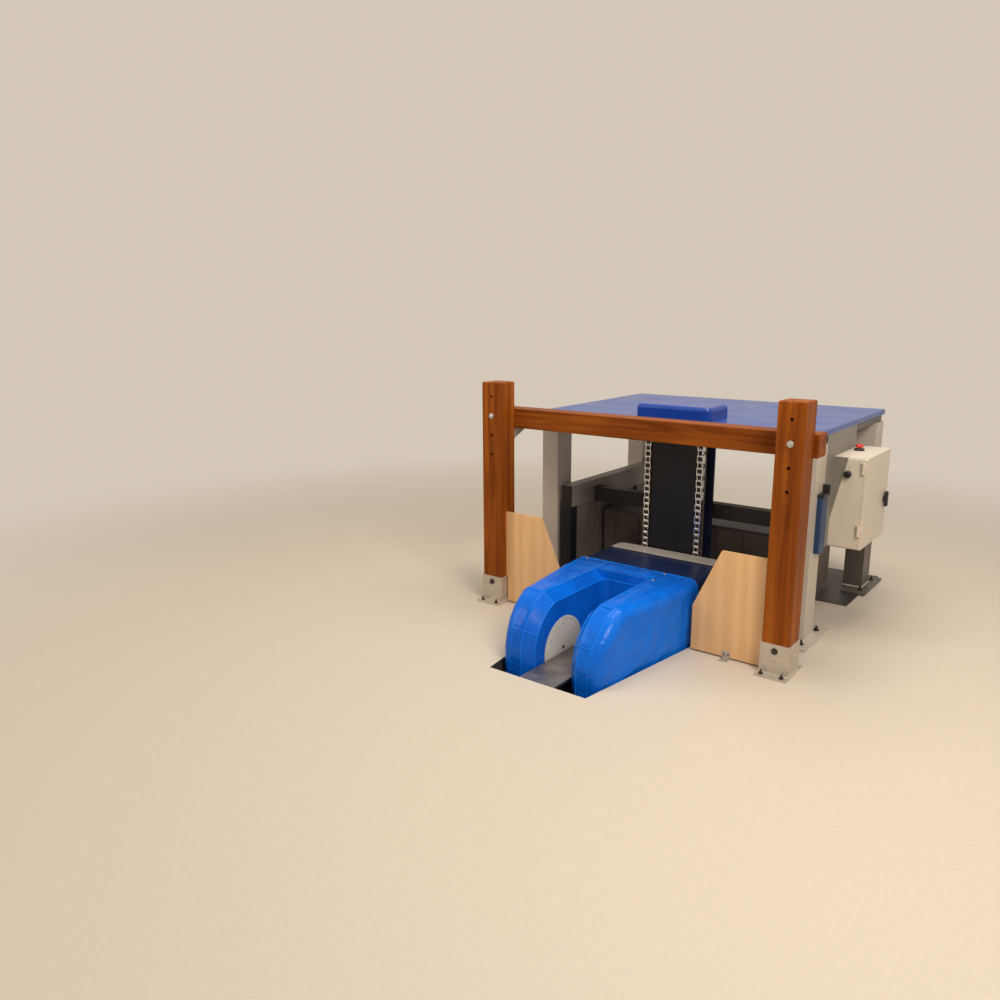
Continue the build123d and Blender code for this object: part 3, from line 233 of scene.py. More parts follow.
def galvanisedFinish(name, colour=(0.58, 0.50, 0.41)):
    # zinc spangle: flat cells of slightly different tone, half metallic
    made = Finish(name)
    cells = made.node("ShaderNodeTexVoronoi", {}, {"Vector": made.place, "Scale": 55.0}, "Color")
    cellTone = made.node("ShaderNodeSeparateXYZ", {}, {0: cells}, "X")
    stain = made.noise(7.0, 4, 0.65)
    darker = tuple(c * 0.72 for c in colour)
    shade = made.mix(cellTone * 0.35 + made.range(stain, 0.4, 0.7) * 0.4, colour, darker)
    return made.done(colour=shade, metallic=0.55, roughness=made.range(cellTone, 0.0, 1.0, 0.42, 0.56),
                     normal=made.bevelled(0.001, made.bump(stain, 0.05, 0.001)))


# the cover's blue, a darker blue for random tone and painted shade in the fold hollows, and a lighter
# blue that is a painted highlight on the piping
vinyl = {"colour": (0.003, 0.165, 0.76), "deep": (0.002, 0.095, 0.52), "pipingHighlight": (0.004, 0.20, 0.82)}


def vinylFinish(name, colour, deep):
    # coated cloth stretched over the shell: long soft puckers, a fine leather-like grain and a gloss;
    # its blue drifts at random and darkens where the puckers dip, which is painted shade in the fold
    # hollows
    made = Finish(name)
    pucker = made.noise(1.0, 2, 0.5, made.stretched((9.0, 5.0, 4.0)))
    small = made.noise(22.0, 2)
    grain = made.noise(900.0, 2)
    tone = made.noise(2.5, 3)
    # darker blue where the random tone is low and where the puckers dip: partly random tone, partly
    # painted shade in the fold hollows
    shade = made.mix(made.range(tone * 0.6 + pucker * 0.4, 0.3, 0.7), deep, colour)
    height = pucker * 1.0 + small * 0.3 + grain * 0.006
    return made.done(colour=shade, roughness=made.range(small, 0.3, 0.7, 0.22, 0.32), specular=0.13,
                     coat=0.09, coatRoughness=0.14, normal=made.bump(height, 0.4, 0.008))


def laminateFinish(name, colour, roughness=0.22, coat=0.6):
    # glossy moulded skin, nearly flat, with faint swirls and rubbed patches in its gloss
    made = Finish(name)
    swirl = made.noise(5.0, 3, 0.5)
    ripple = made.noise(2.0, 2)
    deeper = tuple(c * 0.90 for c in colour)
    shade = made.mix(made.range(swirl, 0.3, 0.7), deeper, colour)
    gloss = made.range(swirl, 0.3, 0.75, roughness - 0.05, roughness + 0.08)
    return made.done(colour=shade, roughness=gloss, specular=0.35, coat=coat, coatRoughness=0.08,
                     normal=made.bevelled(0.0015, made.bump(ripple, 0.10, 0.004)))


def plasticFinish(name, colour, roughness=0.4, texture=600.0):
    # moulded plastic or rubber with a fine spark-eroded grain
    made = Finish(name)
    grain = made.noise(texture, 2)
    drift = made.noise(8.0, 2)
    deeper = tuple(c * 0.85 for c in colour)
    gloss = made.range(grain, 0.3, 0.7, roughness - 0.06, roughness + 0.06)
    return made.done(colour=made.mix(drift, deeper, colour), roughness=gloss,
                     normal=made.bevelled(0.0008, made.bump(grain, 0.08, 0.0003)))


finishes = {
    "postTimber": timberFinish("postTimber", "Z"),
    "beamTimber": timberFinish("beamTimber", "X"),
    "plywood": plywoodFinish(),
    "galvanised": galvanisedFinish("galvanisedShoes"),
    "palePaint": paintFinish("paleLegPaint", (0.52, 0.44, 0.36), 0.42, 0.05, 0.1, 0.15),
    "hoodPaint": paintFinish("paleHoodPaint", (0.64, 0.57, 0.50), 0.42, 0.05, 0.1, 0.15),
    # rear legs: pale paint above z 0.44 and near-black below it; the dark lower part is painted shade
    # under the table and cabinet
    "rearLegPaintAndShade": splitFinish("rearLegPaintAndShade", "Z", (0.44, 0.012),
                                (0.095, 0.082, 0.068), (0.52, 0.45, 0.37)),
    "cabinetPaint": paintFinish("paleCabinetPaint", (0.66, 0.565, 0.455),
                                0.45, 0.03, 0.0, 0.0, grain=700.0),
    # the mount plate and its gusset get the grey-olive tone of their shaded part: painted shade over
    # the whole plate
    "shadedPlatePaint": paintFinish("shadedGreyMountPaint", (0.22, 0.20, 0.165), 0.48, 0.06, 0.0, 0.1),
    "railPaint": splitFinish("darkRailPaint", "Y", (0.380, 0.002),
                             (0.014, 0.012, 0.011), (0.30, 0.25, 0.205)),
    "framePaint": paintFinish("darkFramePaint", (0.11, 0.10, 0.09), 0.45, 0.08, 0.0, 0.2),
    "skirtPaint": paintFinish("darkSkirtSheet", (0.20, 0.165, 0.135),
                              0.5, 0.14, 0.0, 0.6, (0.28, 0.235, 0.195), specular=0.35),
    "floorPlate": paintFinish("darkFloorPlate", (0.045, 0.038, 0.034),
                              0.5, 0.12, 0.0, 0.5, (0.16, 0.14, 0.12)),
    "blackPaint": paintFinish("blackSatinPaint", (0.008, 0.008, 0.012),
                              0.45, 0.10, 0.0, 0.1, (0.04, 0.04, 0.05), specular=0.3),
    "mastPaint": paintFinish("darkBlueMastPaint", (0.012, 0.025, 0.085),
                             0.38, 0.10, 0.1, 0.25, (0.22, 0.14, 0.08)),
    "channelPaint": splitFinish("channelPaint", "Y", (0.5115, 0.0012),
                                (0.20, 0.155, 0.11), (0.012, 0.024, 0.075), 0.4),
    "crossPaint": paintFinish("darkCrossBeamPaint", (0.045, 0.037, 0.030),
                              0.5, 0.10, 0.0, 0.3, specular=0.3),
    "navyPaint": paintFinish("navyRearCover", (0.008, 0.022, 0.095),
                             0.40, 0.10, 0.1, 0.1, (0.05, 0.06, 0.12), specular=0.4),
    "housing": paintFinish("brownHousingSheet", (0.16, 0.13, 0.105),
                           0.5, 0.14, 0.0, 0.6, (0.25, 0.21, 0.17), specular=0.35),
    "tableTop": laminateFinish("blueTableLaminate", (0.012, 0.062, 0.30), 0.34, 0.25),
    "mastCap": laminateFinish("blueCapMoulding", (0.006, 0.050, 0.30), 0.30, 0.2),
    "vinyl": vinylFinish("blueVinyl", vinyl["colour"], vinyl["deep"]),
    # the piping is a lighter blue than the cover: a painted highlight along the seams
    "piping": vinylFinish("bluePiping", vinyl["pipingHighlight"], vinyl["colour"]),
    "duct": plasticFinish("blueDuct", (0.014, 0.045, 0.12), 0.42),
    "blackPlastic": plasticFinish("blackPlastic", (0.014, 0.014, 0.015), 0.38),
    "discPlastic": plasticFinish("paleDisc", (0.66, 0.62, 0.54), 0.42, 300.0),
    "redPlastic": plasticFinish("redButton", (0.62, 0.02, 0.012), 0.28),
    "rubber": plasticFinish("padRubber", (0.02, 0.02, 0.02), 0.75, 250.0),
    "chain": steelFinish("brightChain", (0.82, 0.81, 0.78), 0.20),
    "zinc": steelFinish("zincFasteners", (0.66, 0.65, 0.62), 0.30),
    "darkBolts": steelFinish("blackenedFasteners", (0.085, 0.075, 0.065), 0.42),
    "machined": steelFinish("machinedSteel", (0.52, 0.51, 0.49), 0.30, "X"),
    "hoofPlate": steelFinish("wornHoofPlate", (0.36, 0.33, 0.29), 0.42, "Y", 0.18),
    "iron": paintFinish("ironCasting", (0.10, 0.10, 0.11), 0.5, 0.12, 0.0, 0.3),
    "board": steelFinish("deviceBoard", (0.55, 0.56, 0.57), 0.4),
}
wearing = {
    "postTimber": "left_post right_post",
    "beamTimber": "cross_beam",
    "plywood": "left_guard right_guard",
    "galvanised": "post_shoes table_brackets guard_brackets",
    "palePaint": "front_legs",
    "hoodPaint": "carriage_hood",
    "rearLegPaintAndShade": "rear_legs",
    "cabinetPaint": "cabinet_case cabinet_door",
    "shadedPlatePaint": "mount_plate",
    "railPaint": "side_rails rail_packers",
    "framePaint": "table_frame mast_foot pit_frame",
    "skirtPaint": "rail_skirts",
    "crossPaint": "mast_cross_beams",
    "floorPlate": "rear_floor_plate",
    "blackPaint": "rail_posts mast_panel",
    "mastPaint": "mast_head chain_anchors carriage_plate carriage_arms",
    "channelPaint": "left_mast_channel right_mast_channel",
    "navyPaint": "rear_cover",
    "housing": "drive_housing",
    "tableTop": "table_top",
    "mastCap": "mast_cap",
    "vinyl": "magnet_cover",
    "duct": "cable_duct",
    "blackPlastic": "duct_clip door_handle selector_knob cable_gland button_collar",
    "discPlastic": "pole_discs",
    "redPlastic": "stop_button",
    "rubber": "rest_pads",
    "chain": "lifting_chains",
    "zinc": "beam_bolts shoe_bolts wheel_pins cover_studs",
    "machined": "sprocket_shaft left_upper_wheel right_upper_wheel left_lower_wheel right_lower_wheel",
    "hoofPlate": "hoof_plate",
    "iron": "back_yoke yoke_plates magnet_blocks lift_gearmotor",
    "board": "component_board",
}
for finishName, text in wearing.items():
    for nodeName in text.split():
        mesh = nodes[nodeName].data
        mesh.materials.clear()
        mesh.materials.append(finishes[finishName])
dressed = {nodeName for text in wearing.values() for nodeName in text.split()}
print("finishes on", len(dressed), "nodes, bare", sorted(set(nodes) - dressed))


# Pieces from grids of points

def gridFaces(rows, columns, wrap, first):
    # quads between neighbouring points, numbered row by row from first;
    # wrap joins the last column to the first
    r = np.arange(rows - 1)
    c = np.arange(columns if wrap else columns - 1)
    r, c = (a.ravel() for a in np.meshgrid(r, c, indexing="ij"))
    after = (c + 1) % columns
    here, below = r * columns, (r + 1) * columns
    return first + np.stack([here + c, below + c, below + after, here + after], 1)


def outward(grid, inner):
    # turns the grid round where its normals point towards the points given as its inside
    across = grid[1:, :-1] - grid[:-1, :-1]
    along = grid[:-1, 1:] - grid[:-1, :-1]
    away = grid - inner
    side = np.sum(np.cross(across, along) * away[:-1, :-1])
    return grid if side > 0 else grid[:, ::-1]


def makePiece(name, grids, finishName, body):
    # one mesh of several grids, each given as points[rows, columns, 3], wrap and smooth
    points, faces, smooth = [], [], []
    first = 0
    for grid, wrap, soft in grids:
        rows, columns = grid.shape[:2]
        quads = gridFaces(rows, columns, wrap, first)
        points.append(grid.reshape(-1, 3))
        faces.append(quads)
        smooth.append(np.full(len(quads), soft))
        first += rows * columns
    mesh = bpy.data.meshes.new(name)
    mesh.from_pydata(np.concatenate(points).tolist(), [], np.concatenate(faces).tolist())
    mesh.polygons.foreach_set("use_smooth", np.concatenate(smooth))
    mesh.materials.append(finishes[finishName])
    piece = bpy.data.objects.new(name, mesh)
    scene.collection.objects.link(piece)
    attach(piece, body)
    print(name, len(mesh.vertices), "points")
    return piece


def unit(vectors):
    return vectors / np.maximum(np.linalg.norm(vectors, axis=-1, keepdims=True), 1e-12)


def tube(path, radius, sides=10):
    # circles square to the path; each circle's first spoke is the one before it, laid into the new
    # circle's plane
    tangent = unit(np.gradient(path, axis=0))
    spoke = np.empty_like(path)
    spoke[0] = unit(np.cross(tangent[0], (0.31, 0.52, 0.79)))
    for i in range(1, len(path)):
        spoke[i] = unit(spoke[i - 1] - tangent[i] * np.dot(spoke[i - 1], tangent[i]))
    other = np.cross(tangent, spoke)
    angle = np.arange(sides) * 2 * math.pi / sides
    reach = np.broadcast_to(radius, len(path))[:, None, None]
    ring = (np.cos(angle)[None, :, None] * spoke[:, None]
            + np.sin(angle)[None, :, None] * other[:, None])
    return outward(path[:, None] + reach * ring, path[:, None])


def lathe(profile, place, axis, corners=24):
    # a ring of the given radius at each height along the axis, from (radius, height) pairs
    radius, height = np.array(profile).T
    axis = np.array(axis, float)
    first = np.array((1.0, 0, 0)) if abs(axis[0]) < 0.5 else np.array((0, 1.0, 0))
    second = np.cross(axis, first)
    angle = np.arange(corners) * 2 * math.pi / corners
    spokes = np.cos(angle)[:, None] * first + np.sin(angle)[:, None] * second
    centre = np.array(place) + height[:, None] * axis
    middle = np.array(place) + 0.5 * (height.min() + height.max()) * axis
    return outward(centre[:, None] + radius[:, None, None] * spokes[None], middle)


tipRadius = 0.0002


def washer(place, axis, radius, thickness):
    profile = [(tipRadius, 0), (radius, 0), (radius, 0.7 * thickness), (0.95 * radius, thickness),
               (tipRadius, thickness)]
    return lathe(profile, place, axis), True, False


def hexagon(place, axis, corner, height):
    # a nut or bolt head, its corners taken off at both ends
    profile = [(tipRadius, 0), (0.93 * corner, 0), (corner, 0.12 * height), (corner, 0.88 * height),
               (0.93 * corner, height), (tipRadius, height)]
    return lathe(profile, place, axis, 6), True, False


def threadedEnd(place, axis, radius, length, pitch=0.00175):
    # the radius falls and rises once in each pitch by the depth of the thread, with a chamfered tip
    height = np.arange(0, length, pitch / 6)
    depth = 0.30 * pitch * (1 - np.cos(2 * math.pi * height / pitch))
    profile = list(zip(radius - depth, height)) + [(0.8 * radius, length), (tipRadius, length)]
    return lathe(profile, place, axis, 16), True, True


def panHead(place, axis, radius, height):
    # a low dome, a quarter of an ellipse turned round the axis
    angle = np.linspace(0, math.pi / 2, 7)
    profile = [(tipRadius + radius * math.cos(a), height * math.sin(a)) for a in angle]
    return lathe(profile, place, axis, 16), True, True


# Fasteners and welds

fasteners = {"postX": 0.775, "postFace": 0.059, "beamBack": 0.159, "beamBoltZ": 1.010,
             "shoeFace": 0.0643, "shoeBoltZ": 0.114, "washer": 0.0145, "washerThickness": 0.0022,
             "corner": 0.0112, "head": 0.0075, "nutExtra": 0.001, "shank": 0.0060,
             "threadShown": 0.0055}


def throughBolts(name, z, front, back, finishName):
    # a bolt through each post with a washer at both ends, from front to back
    f = fasteners
    ahead, behind = (0, -1, 0), (0, 1, 0)
    lift = f["washerThickness"]
    grids = []
    for x in (-f["postX"], f["postX"]):
        grids.append(washer((x, -front, z), ahead, f["washer"], lift))
        grids.append(hexagon((x, -front - lift, z), ahead, f["corner"], f["head"]))
        grids.append(washer((x, back, z), behind, f["washer"], lift))
        grids.append(hexagon((x, back + lift, z), behind, f["corner"], f["head"] + f["nutExtra"]))
        end = (x, back + lift + f["head"], z)
        grids.append(threadedEnd(end, behind, f["shank"], f["threadShown"]))
        shank = lathe([(f["shank"], 0), (f["shank"], front + back)], (x, -front, z), behind, 16)
        grids.append((shank, True, True))
    return makePiece(name, grids, finishName, "gantry")


beamBolts = throughBolts("beamBolts", fasteners["beamBoltZ"], fasteners["postFace"],
                         fasteners["beamBack"], "zinc")
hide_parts("beam_bolts")
shoeBolts = throughBolts("shoeBolts", fasteners["shoeBoltZ"], fasteners["shoeFace"],
                         fasteners["shoeFace"], "darkBolts")
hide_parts("shoe_bolts")

# shoe and foot each give the radii of washer, nut and stud
anchors = {"shoeX": 0.045, "shoeY": 0.087, "shoeTop": 0.008, "footX": 0.760, "footSpacing": 0.111,
           "frontY": 0.443, "frontTop": 0.010, "rearY": 1.408, "rearTop": 0.014,
           "shoe": (0.0100, 0.0088, 0.0048), "foot": (0.0135, 0.0108, 0.0060),
           "washerThickness": 0.002, "nutShare": 0.8, "studShare": 2.1}


def anchorBolts():
    # a washer, a nut and a stud's end over every hole of the shoes and foot plates
    a = anchors
    places = []
    for side in (-1, 1):
        for way in (-1, 1):
            for x in (-a["shoeX"], a["shoeX"]):
                at = (side * fasteners["postX"] + x, way * a["shoeY"], a["shoeTop"])
                places.append((at, a["shoe"]))
            for foot in ("front", "rear"):
                at = (side * a["footX"], a[foot + "Y"] + way * a["footSpacing"], a[foot + "Top"])
                places.append((at, a["foot"]))
    grids = []
    up = (0, 0, 1)
    lift = a["washerThickness"]
    for (x, y, z), (disc, corner, stud) in places:
        nut = a["nutShare"] * corner
        grids.append(washer((x, y, z), up, disc, lift))
        grids.append(hexagon((x, y, z + lift), up, corner, nut))
        grids.append(threadedEnd((x, y, z + lift + nut), up, stud, a["studShare"] * stud))
    return makePiece("anchorBolts", grids, "darkBolts", "gantry")


anchorBolts()

screws = {"foot": (0.5415, -0.034, 0.004), "guard": (0.5415, -0.018, 0.022), "spread": 0.010,
          "radius": 0.0042, "height": 0.0026}


def bracketScrews():
    # two screws down into the floor and two back into the board, on each guard's foot bracket
    s = screws
    grids = []
    for side in (-1, 1):
        for move in (-s["spread"], s["spread"]):
            x, y, z = s["foot"]
            grids.append(panHead((side * x + move, y, z), (0, 0, 1), s["radius"], s["height"]))
            x, y, z = s["guard"]
            grids.append(panHead((side * x + move, y, z), (0, -1, 0), s["radius"], s["height"]))
    return makePiece("bracketScrews", grids, "darkBolts", "gantry")


bracketScrews()


def roundedLoop(x0, x1, y0, y1, corner, step):
    # the outline of a rectangle with round corners, evenly stepped and closed
    centres = ((x1 - corner, y1 - corner), (x0 + corner, y1 - corner),
               (x0 + corner, y0 + corner), (x1 - corner, y0 + corner))
    rough = []
    for i, (x, y) in enumerate(centres):
        turn = np.linspace(i, i + 1, 9) * math.pi / 2
        rough.append(np.stack([x + corner * np.cos(turn), y + corner * np.sin(turn)], 1))
    rough = np.concatenate(rough + [rough[0][:1]])
    run = np.concatenate([[0], np.cumsum(np.linalg.norm(np.diff(rough, axis=0), axis=1))])
    even = np.linspace(0, run[-1], int(run[-1] / step))
    return np.stack([np.interp(even, run, rough[:, 0]), np.interp(even, run, rough[:, 1])], 1)


welds = {"radius": 0.0042, "ripple": 0.10, "pitch": 0.0045, "step": 0.0011, "corner": 0.003,
         "legX": (0.653, 0.755), "front": (0.375, 0.511, 0.010), "rear": (1.340, 1.476, 0.014),
         "socket": 0.0643, "socketZ": 0.008}


def footWelds():
    # a bead along the foot of each leg and post socket, swelling a little at every ripple of the weld
    w = welds
    loops = []
    for side in (-1, 1):
        inner, outer = sorted(side * x for x in w["legX"])
        loops.append((inner, outer, *w["front"]))
        loops.append((inner, outer, *w["rear"]))
        x = side * fasteners["postX"]
        half = w["socket"]
        loops.append((x - half, x + half, -half, half, w["socketZ"]))
    grids = []
    for x0, x1, y0, y1, z in loops:
        flat = roundedLoop(x0, x1, y0, y1, w["corner"], w["step"])
        path = np.column_stack([flat, np.full(len(flat), z)])
        beat = np.arange(len(flat)) * w["step"] / w["pitch"] * 2 * math.pi
        radius = w["radius"] * (1 + w["ripple"] * np.sin(beat))
        grids.append((tube(path, radius, 8), True, True))
    return makePiece("footWelds", grids, "palePaint", "gantry")


footWelds()


# Padded cover of the magnet: sewn panels over the shell, with piping on their seams

cover = {"front": -0.649, "top": 0.300, "bottom": -0.290, "nose": 0.273, "noseZ": 0.040,
         "frontHalf": 0.248, "waistY": 0.015, "waistHalf": 0.335, "gapHalf": 0.100, "gapBack": -0.025,
         "bevel": 0.046, "ridge": 0.045, "back": 0.105, "lift": 0.0006, "swell": 0.0030, "fold": 0.0032,
         "piping": 0.0030, "darts": (0.297, 0.405), "dartRise": 0.0040}


def sideLine(inset, back, fine=0.0055):
    # the arm's side view as (y, z) points, moved inwards by inset: along the top from back, round the
    # nose, down the front, round again and along the underside, with the same count for every inset
    c = cover
    low = c["bottom"] + c["top"] - c["noseZ"]
    radius = c["nose"] - inset
    centre = c["front"] + c["nose"]
    end = math.asin((c["top"] - inset - c["noseZ"]) / radius)
    endY = centre - radius * math.cos(end)
    counts = [int(n / fine) for n in (0.56, 0.34, 0.07)]
    turn = np.linspace(end, 0, counts[1], endpoint=False)
    topY = np.linspace(back, endY, counts[0], endpoint=False)
    frontZ = np.linspace(c["noseZ"], 0.5 * (c["noseZ"] + low), counts[2])
    upper = np.concatenate([
        np.column_stack([topY, np.full(counts[0], c["top"] - inset)]),
        np.column_stack([centre - radius * np.cos(turn), c["noseZ"] + radius * np.sin(turn)]),
        np.column_stack([np.full(counts[2], c["front"] + inset), frontZ]),
    ])
    lower = upper[-2::-1] * (1, -1) + (0, c["top"] + c["bottom"])
    return np.concatenate([upper, lower])


def halfWidth(y):
    # half the cover's width, which grows evenly from the nose to the waist
    c = cover
    share = np.clip((y - c["front"]) / (c["waistY"] - c["front"]), 0, 1)
    return c["frontHalf"] + share * (c["waistHalf"] - c["frontHalf"])


# each wave's length, its share of the height and whether its middle line is sharp
waves = ((0.24, 0.9, True), (0.17, 0.7, True), (0.11, 0.45, False), (0.07, 0.30, True),
         (0.045, 0.12, False))


def folds(points):
    # soft waves in several directions, and long creases where a wave's middle line is sharp
    rng = np.random.default_rng(7)
    height = np.zeros(points.shape[:-1])
    for length, share, sharp in waves:
        direction = unit(rng.normal(size=3))
        bend = unit(rng.normal(size=3))
        swerve = 0.35 * np.sin(points @ bend / (2.3 * length) * 2 * math.pi)
        phase = points @ direction / length + swerve + rng.random()
        wave = np.sin(2 * math.pi * phase)
        height += share * (1 - 2 * np.abs(wave) ** 0.8 if sharp else wave)
    return height


def skin(grid, inner, ends):
    # lifts a panel off the shell: least at its seams, most in its middle, with folds and small gathers
    # at the seams; where the grid shrinks to a point it takes its neighbour's normal
    c = cover
    normal = unit(np.cross(np.gradient(grid, axis=0), np.gradient(grid, axis=1)))
    flat = np.linalg.norm(normal, axis=2) < 0.5
    normal[flat] = np.roll(normal, 1, axis=1)[flat]
    normal = normal * np.sign(np.sum(normal * (grid - inner)))
    rows, columns = grid.shape[:2]
    width = np.linalg.norm(np.diff(grid, axis=1), axis=2).sum(1).mean()
    u = np.linspace(0, 1, rows)[:, None]
    v = np.linspace(0, 1, columns)[None, :]
    rise = np.clip(u / 0.02, 0, 1) * np.clip((1 - u) / 0.02, 0, 1)
    gather = np.zeros((rows, columns))
    run = np.cumsum(np.concatenate([[0], np.linalg.norm(np.diff(grid[:, 0], axis=0), axis=1)]))[:, None]
    for away, sewn in ((v, ends[0]), (1 - v, ends[1])):
        if sewn:
            far = away * width
            rise = rise * (1 - np.exp(-far / 0.018))
            beat = run / 0.026 + 1.3 * np.sin(run / 0.11)
            gather = gather + np.sin(2 * math.pi * beat) * np.exp(-((far - 0.014) / 0.011) ** 2)
    lift = c["lift"] + rise * (c["swell"] + c["fold"] * folds(grid) * 0.55) + 0.0005 * gather
    lift = np.maximum(lift, 0.0003)
    return outward(grid + normal * lift[..., None], inner)


def armPanels(side):
    c = cover
    inner = np.array((side * 0.22, -0.25, 0.005))
    line = sideLine(0, c["back"])
    bevelX = c["gapHalf"] + c["bevel"]
    v = np.linspace(0, 1, 26)
    wide = halfWidth(line[:, 0]) - c["ridge"]
    x = bevelX + v[None, :] * (wide[:, None] - bevelX)
    lineY, lineZ = (np.repeat(line[:, i:i + 1], len(v), 1) for i in (0, 1))
    strip = np.stack([side * x, lineY, lineZ], 2)
    rows = []
    for angle in np.linspace(0, math.pi / 2, 14):
        points = sideLine(c["ridge"] * (1 - math.cos(angle)), c["back"])
        x = halfWidth(points[:, 0]) - c["ridge"] + c["ridge"] * math.sin(angle)
        rows.append(np.column_stack([side * x, points]))
    rim = rows[-1]
    share = (rim[:, 1] - c["back"]) / (c["front"] - c["back"])
    spineY = c["back"] + share * (-0.42 - c["back"])
    spine = np.column_stack([side * halfWidth(spineY), spineY, np.full(len(rim), 0.005)])
    for step in np.linspace(0, 1, 38)[1:]:
        rows.append(rim + step * (spine - rim))
        rows[-1][:, 0] = side * halfWidth(rows[-1][:, 1])
    flank = np.stack(rows, 1)
    rows = []
    for inset in np.linspace(0, c["bevel"], 9):
        points = sideLine(inset, c["gapBack"] + c["bevel"] - inset)
        rows.append(np.column_stack([np.full(len(points), side * (bevelX - inset)), points]))
    edge = np.stack(rows, 1)
    edge = outward(edge + 0.0004 * np.array((-side, 0, 0)), inner)
    panels = (skin(strip, inner, (True, True)), skin(flank, inner, (True, False)), edge)
    return [(panel, False, True) for panel in panels]


def bridgePanels():
    # the flat stretch behind the gap, over and under
    c = cover
    bevelX = c["gapHalf"] + c["bevel"]
    x = np.linspace(-bevelX, bevelX, 50)
    y = np.linspace(c["gapBack"] + c["bevel"], c["back"], 18)
    grids = []
    for z in (c["top"], c["bottom"]):
        across, along = np.meshgrid(x, y, indexing="xy")
        grid = np.stack([across, along, np.full(across.shape, z)], 2)
        grids.append((skin(grid, np.array((0, 0.06, 0.005)), (True, True)), False, True))
    return grids


def seamLoop(inset, step=0.004):
    # one seam of the gap's bevel: over one arm's top, nose and underside, across behind the gap and
    # back over the other arm
    c = cover
    x = c["gapHalf"] + c["bevel"] - inset
    back = c["gapBack"] + c["bevel"] - inset
    line = sideLine(inset, back)
    right = np.column_stack([np.full(len(line), x), line])
    left = right[::-1] * (-1, 1, 1)
    across = np.linspace(x, -x, int(2 * x / step))[1:-1]
    under = np.column_stack([across, np.full(len(across), back), np.full(len(across), line[-1, 1])])
    over = np.column_stack([-across, np.full(len(across), back), np.full(len(across), line[0, 1])])
    return np.concatenate([right, under, left, over, right[:1]])


def dart(side, place):
    # a cross seam over one arm's nose, from the gap's inner seam over the bevel to the outer ridge;
    # beyond the bevel it lies on the swollen strip, highest in the middle
    c = cover
    bevelSteps, stripSteps = 12, 24
    bevelX = c["gapHalf"] + c["bevel"]
    points = []
    for share in np.linspace(0, 1, bevelSteps):
        line = sideLine((1 - share) * c["bevel"], c["back"])
        points.append((side * (c["gapHalf"] + share * c["bevel"]), *line[int(place * len(line))]))
    line = sideLine(0, c["back"])
    at = int(place * len(line))
    y, z = line[at]
    ahead = line[at + 2] - line[at - 2]
    away = unit(np.array((ahead[1], -ahead[0])))
    strip = np.linspace(bevelX, halfWidth(y) - c["ridge"], stripSteps + 1)[1:]
    for i, x in enumerate(strip):
        rise = c["dartRise"] * math.sqrt(max(0.0, math.sin(math.pi * i / (stripSteps - 1))))
        points.append((side * x, y + rise * away[0], z + rise * away[1]))
    return np.array(points)


def coverPiping():
    # piping on both seams of the bevel, on each outer ridge, round the rear hem and along the darts
    c = cover
    seams = [(seamLoop(inset), 1.0) for inset in (0.0, c["bevel"])]
    for side in (-1, 1):
        line = sideLine(0, c["back"])
        seams.append((np.column_stack([side * (halfWidth(line[:, 0]) - c["ridge"]), line]), 0.8))
    hem = roundedLoop(-c["waistHalf"], c["waistHalf"], c["bottom"], c["top"], c["ridge"], 0.004)
    seams.append((np.column_stack([hem[:, 0], np.full(len(hem), c["back"] - 0.003), hem[:, 1]]), 1.3))
    seams += [(dart(side, place), 0.8) for side in (-1, 1) for place in c["darts"]]
    grids = [(tube(path, share * c["piping"], 8), True, True) for path, share in seams]
    return makePiece("coverPiping", grids, "piping", "magnet")


discScrews = {"x": 0.097, "y": -0.378, "z": 0.016, "sunk": 0.004, "large": 0.0092,
              "largeHeight": 0.0035, "ring": 0.116, "count": 6, "small": 0.0044, "smallHeight": 0.0028}


def poleScrews():
    # a large screw in the middle of each pole disc and a ring of small ones, standing in their recesses
    d = discScrews
    grids = []
    for side in (-1, 1):
        x = side * (d["x"] + d["sunk"])
        facing = (-side, 0, 0)
        grids.append(hexagon((x, d["y"], d["z"]), facing, d["large"], d["largeHeight"]))
        for i in range(d["count"]):
            angle = 2 * math.pi * (i + 0.5) / d["count"]
            y, z = d["y"] + d["ring"] * math.cos(angle), d["z"] + d["ring"] * math.sin(angle)
            grids.append(panHead((x, y, z), facing, d["small"], d["smallHeight"]))
    return makePiece("poleScrews", grids, "darkBolts", "magnet")


panels = armPanels(1) + armPanels(-1) + bridgePanels()
coverPanels = makePiece("coverPanels", panels, "vinyl", "magnet")
coverPiping()
poleScrews()


# Stage: a pale floor with the slot that the magnet stands in

stageSizes = {"reach": 45.0, "pitDepth": 0.365, "slotFront": -0.735, "slotFrontHalf": 0.250,
              "slotWaist": -0.009, "slotHalf": 0.350, "slotBack": 0.645, "fadeStart": 1.8,
              "fadeEnd": 5.5, "floor": (0.62, 0.53, 0.425), "pit": (0.035, 0.032, 0.03),
              "far": (0.66, 0.575, 0.475)}


def stagePiece(name, points, faces, material):
    mesh = bpy.data.meshes.new(name)
    mesh.from_pydata(points, [], faces)
    mesh.materials.append(material)
    piece = bpy.data.objects.new(name, mesh)
    scene.collection.objects.link(piece)
    return piece


